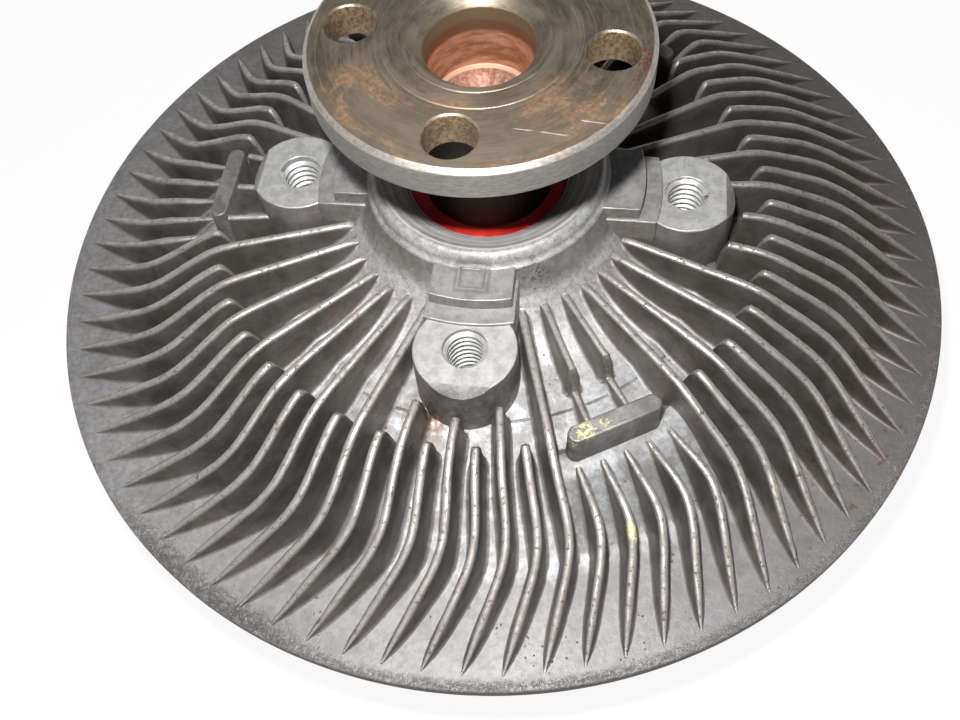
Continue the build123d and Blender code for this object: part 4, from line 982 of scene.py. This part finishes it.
# The face's outer edge is lighter: partly rubbed metal, partly painted highlight.
rubbed = radius.over((FLANGE_R - 0.95) * MM, (FLANGE_R - 0.75) * MM) * z.over(87.4 * MM, 87.8 * MM) * (1 - rim_wall)
tone = steel.mix(rubbed * (0.25 + 0.35 * speck.over(0.35, 0.6)), tone, grey(0.50, 0.06))
# Painted shade: the shaft below the flange is near black.
shade_below_flange = z.over(82.0 * MM, 81.0 * MM) * (1 - in_bore)
tone = steel.mix(shade_below_flange * 0.94, tone, (0.016, 0.012, 0.010, 1))
knurl = steel.near((-1.7, -29.3, 85.6), 1.2, 1.9) * rim_wall
weave = steel.node("ShaderNodeTexChecker", {}, {"Vector": steel.place, "Scale": 1 / (0.45 * MM)}, "Fac")
roughness = 0.40 + 0.12 * speck + 0.16 * rust - 0.08 * rim_wall + 0.10 * in_bore
height = streak * 0.45 + ring * 0.25 + speck * 0.25 + rust * 0.15 + marks * 0.5 + knurl * weave * 2.0
steel_material = steel.done(tone, roughness, height, 0.05, 0.9)


def deeper_bore(bm):
    """Sinks the pilot bore's bottom to where the photograph shows it."""
    for v in bm.verts:
        if hypot(v.co.x, v.co.y) < BORE_R + 0.1 and 60 < v.co.z < 78:
            v.co.z -= BORE_SINK


edged("input_shaft", "input_shaft_turned", steel_material, "input", 0.12, reshape=deeper_bore)


# The clutch disc: a turned aluminium rotor, pressed on the shaft, whose ring lands run between the housing's.
dress(turned_metal("rotor_aluminium", grey(0.46), grey(0.62), 0.30, 0.7), "clutch_disc")

# The fill plate over the reservoir, its screws, and the wiper with its pins, all fixed to the cover from inside.
sheet_steel = turned_metal("sheet_steel", (0.34, 0.34, 0.35, 1), (0.50, 0.50, 0.50, 1), 0.30, 2.5)
zinc = turned_metal("zinc_plated_steel", (0.50, 0.51, 0.53, 1), (0.66, 0.66, 0.64, 1), 0.26, 0.4)
dress(sheet_steel, "pump_plate", "valve_arm")
dress(zinc, "pump_plate_screws", "wiper_pins", "valve_shaft")
plastic = Finish("wiper_plastic", {"Metallic": 0.0, "Specular IOR Level": 0.45})
fleck = plastic.noise(0.5, 3)
plastic_tone = plastic.mix(fleck.over(0.35, 0.65), grey(0.030), grey(0.055))
dress(plastic.done(plastic_tone, 0.42 + 0.15 * fleck, fleck, 0.01), "wiper")

# The front cover: a finned aluminium die casting that is rolled into the housing's skirt and carries the coil's
# post. It is a copy of the solid with the edges of its fins broken.
die_cast = Finish("cover_casting", {"Metallic": 0.85, "Specular IOR Level": 0.5})
x, y, z = die_cast.xyz()
cloud = die_cast.noise(12.0, 6, 0.62)
fine = die_cast.noise(0.9, 5, 0.7)
tone = die_cast.mix(cloud.over(0.35, 0.66), grey(0.27, 0.04), grey(0.44, 0.02))
tone = die_cast.mix(fine.over(0.52, 0.72) * 0.45, tone, (0.14, 0.12, 0.10, 1))
rubbed = z.over(0.35 * MM, 0.05 * MM)
tone = die_cast.mix(rubbed * 0.8, tone, grey(0.58, 0.02))
roughness = 0.38 + 0.16 * fine - 0.10 * rubbed
cover_material = die_cast.done(tone, roughness, fine * 0.6 + cloud * 0.4, 0.09, 0.8)
edged("front_cover", "front_cover_casting", cover_material, "housing", 0.25)

# The thermostat: a flat coil of bimetal strip in the cover's well, which turns the valve shaft and its arm.
bimetal = Finish("bimetal", {"Metallic": 1.0})
heat = bimetal.noise(4.0, 5, 0.6)
grain = bimetal.noise(0.5, 4)
strip = bimetal.mix(heat.over(0.35, 0.68), (0.30, 0.24, 0.18, 1), (0.52, 0.46, 0.37, 1))
dress(bimetal.done(strip, 0.30 + 0.18 * grain, grain, 0.01, 0.6), "bimetal_coil")
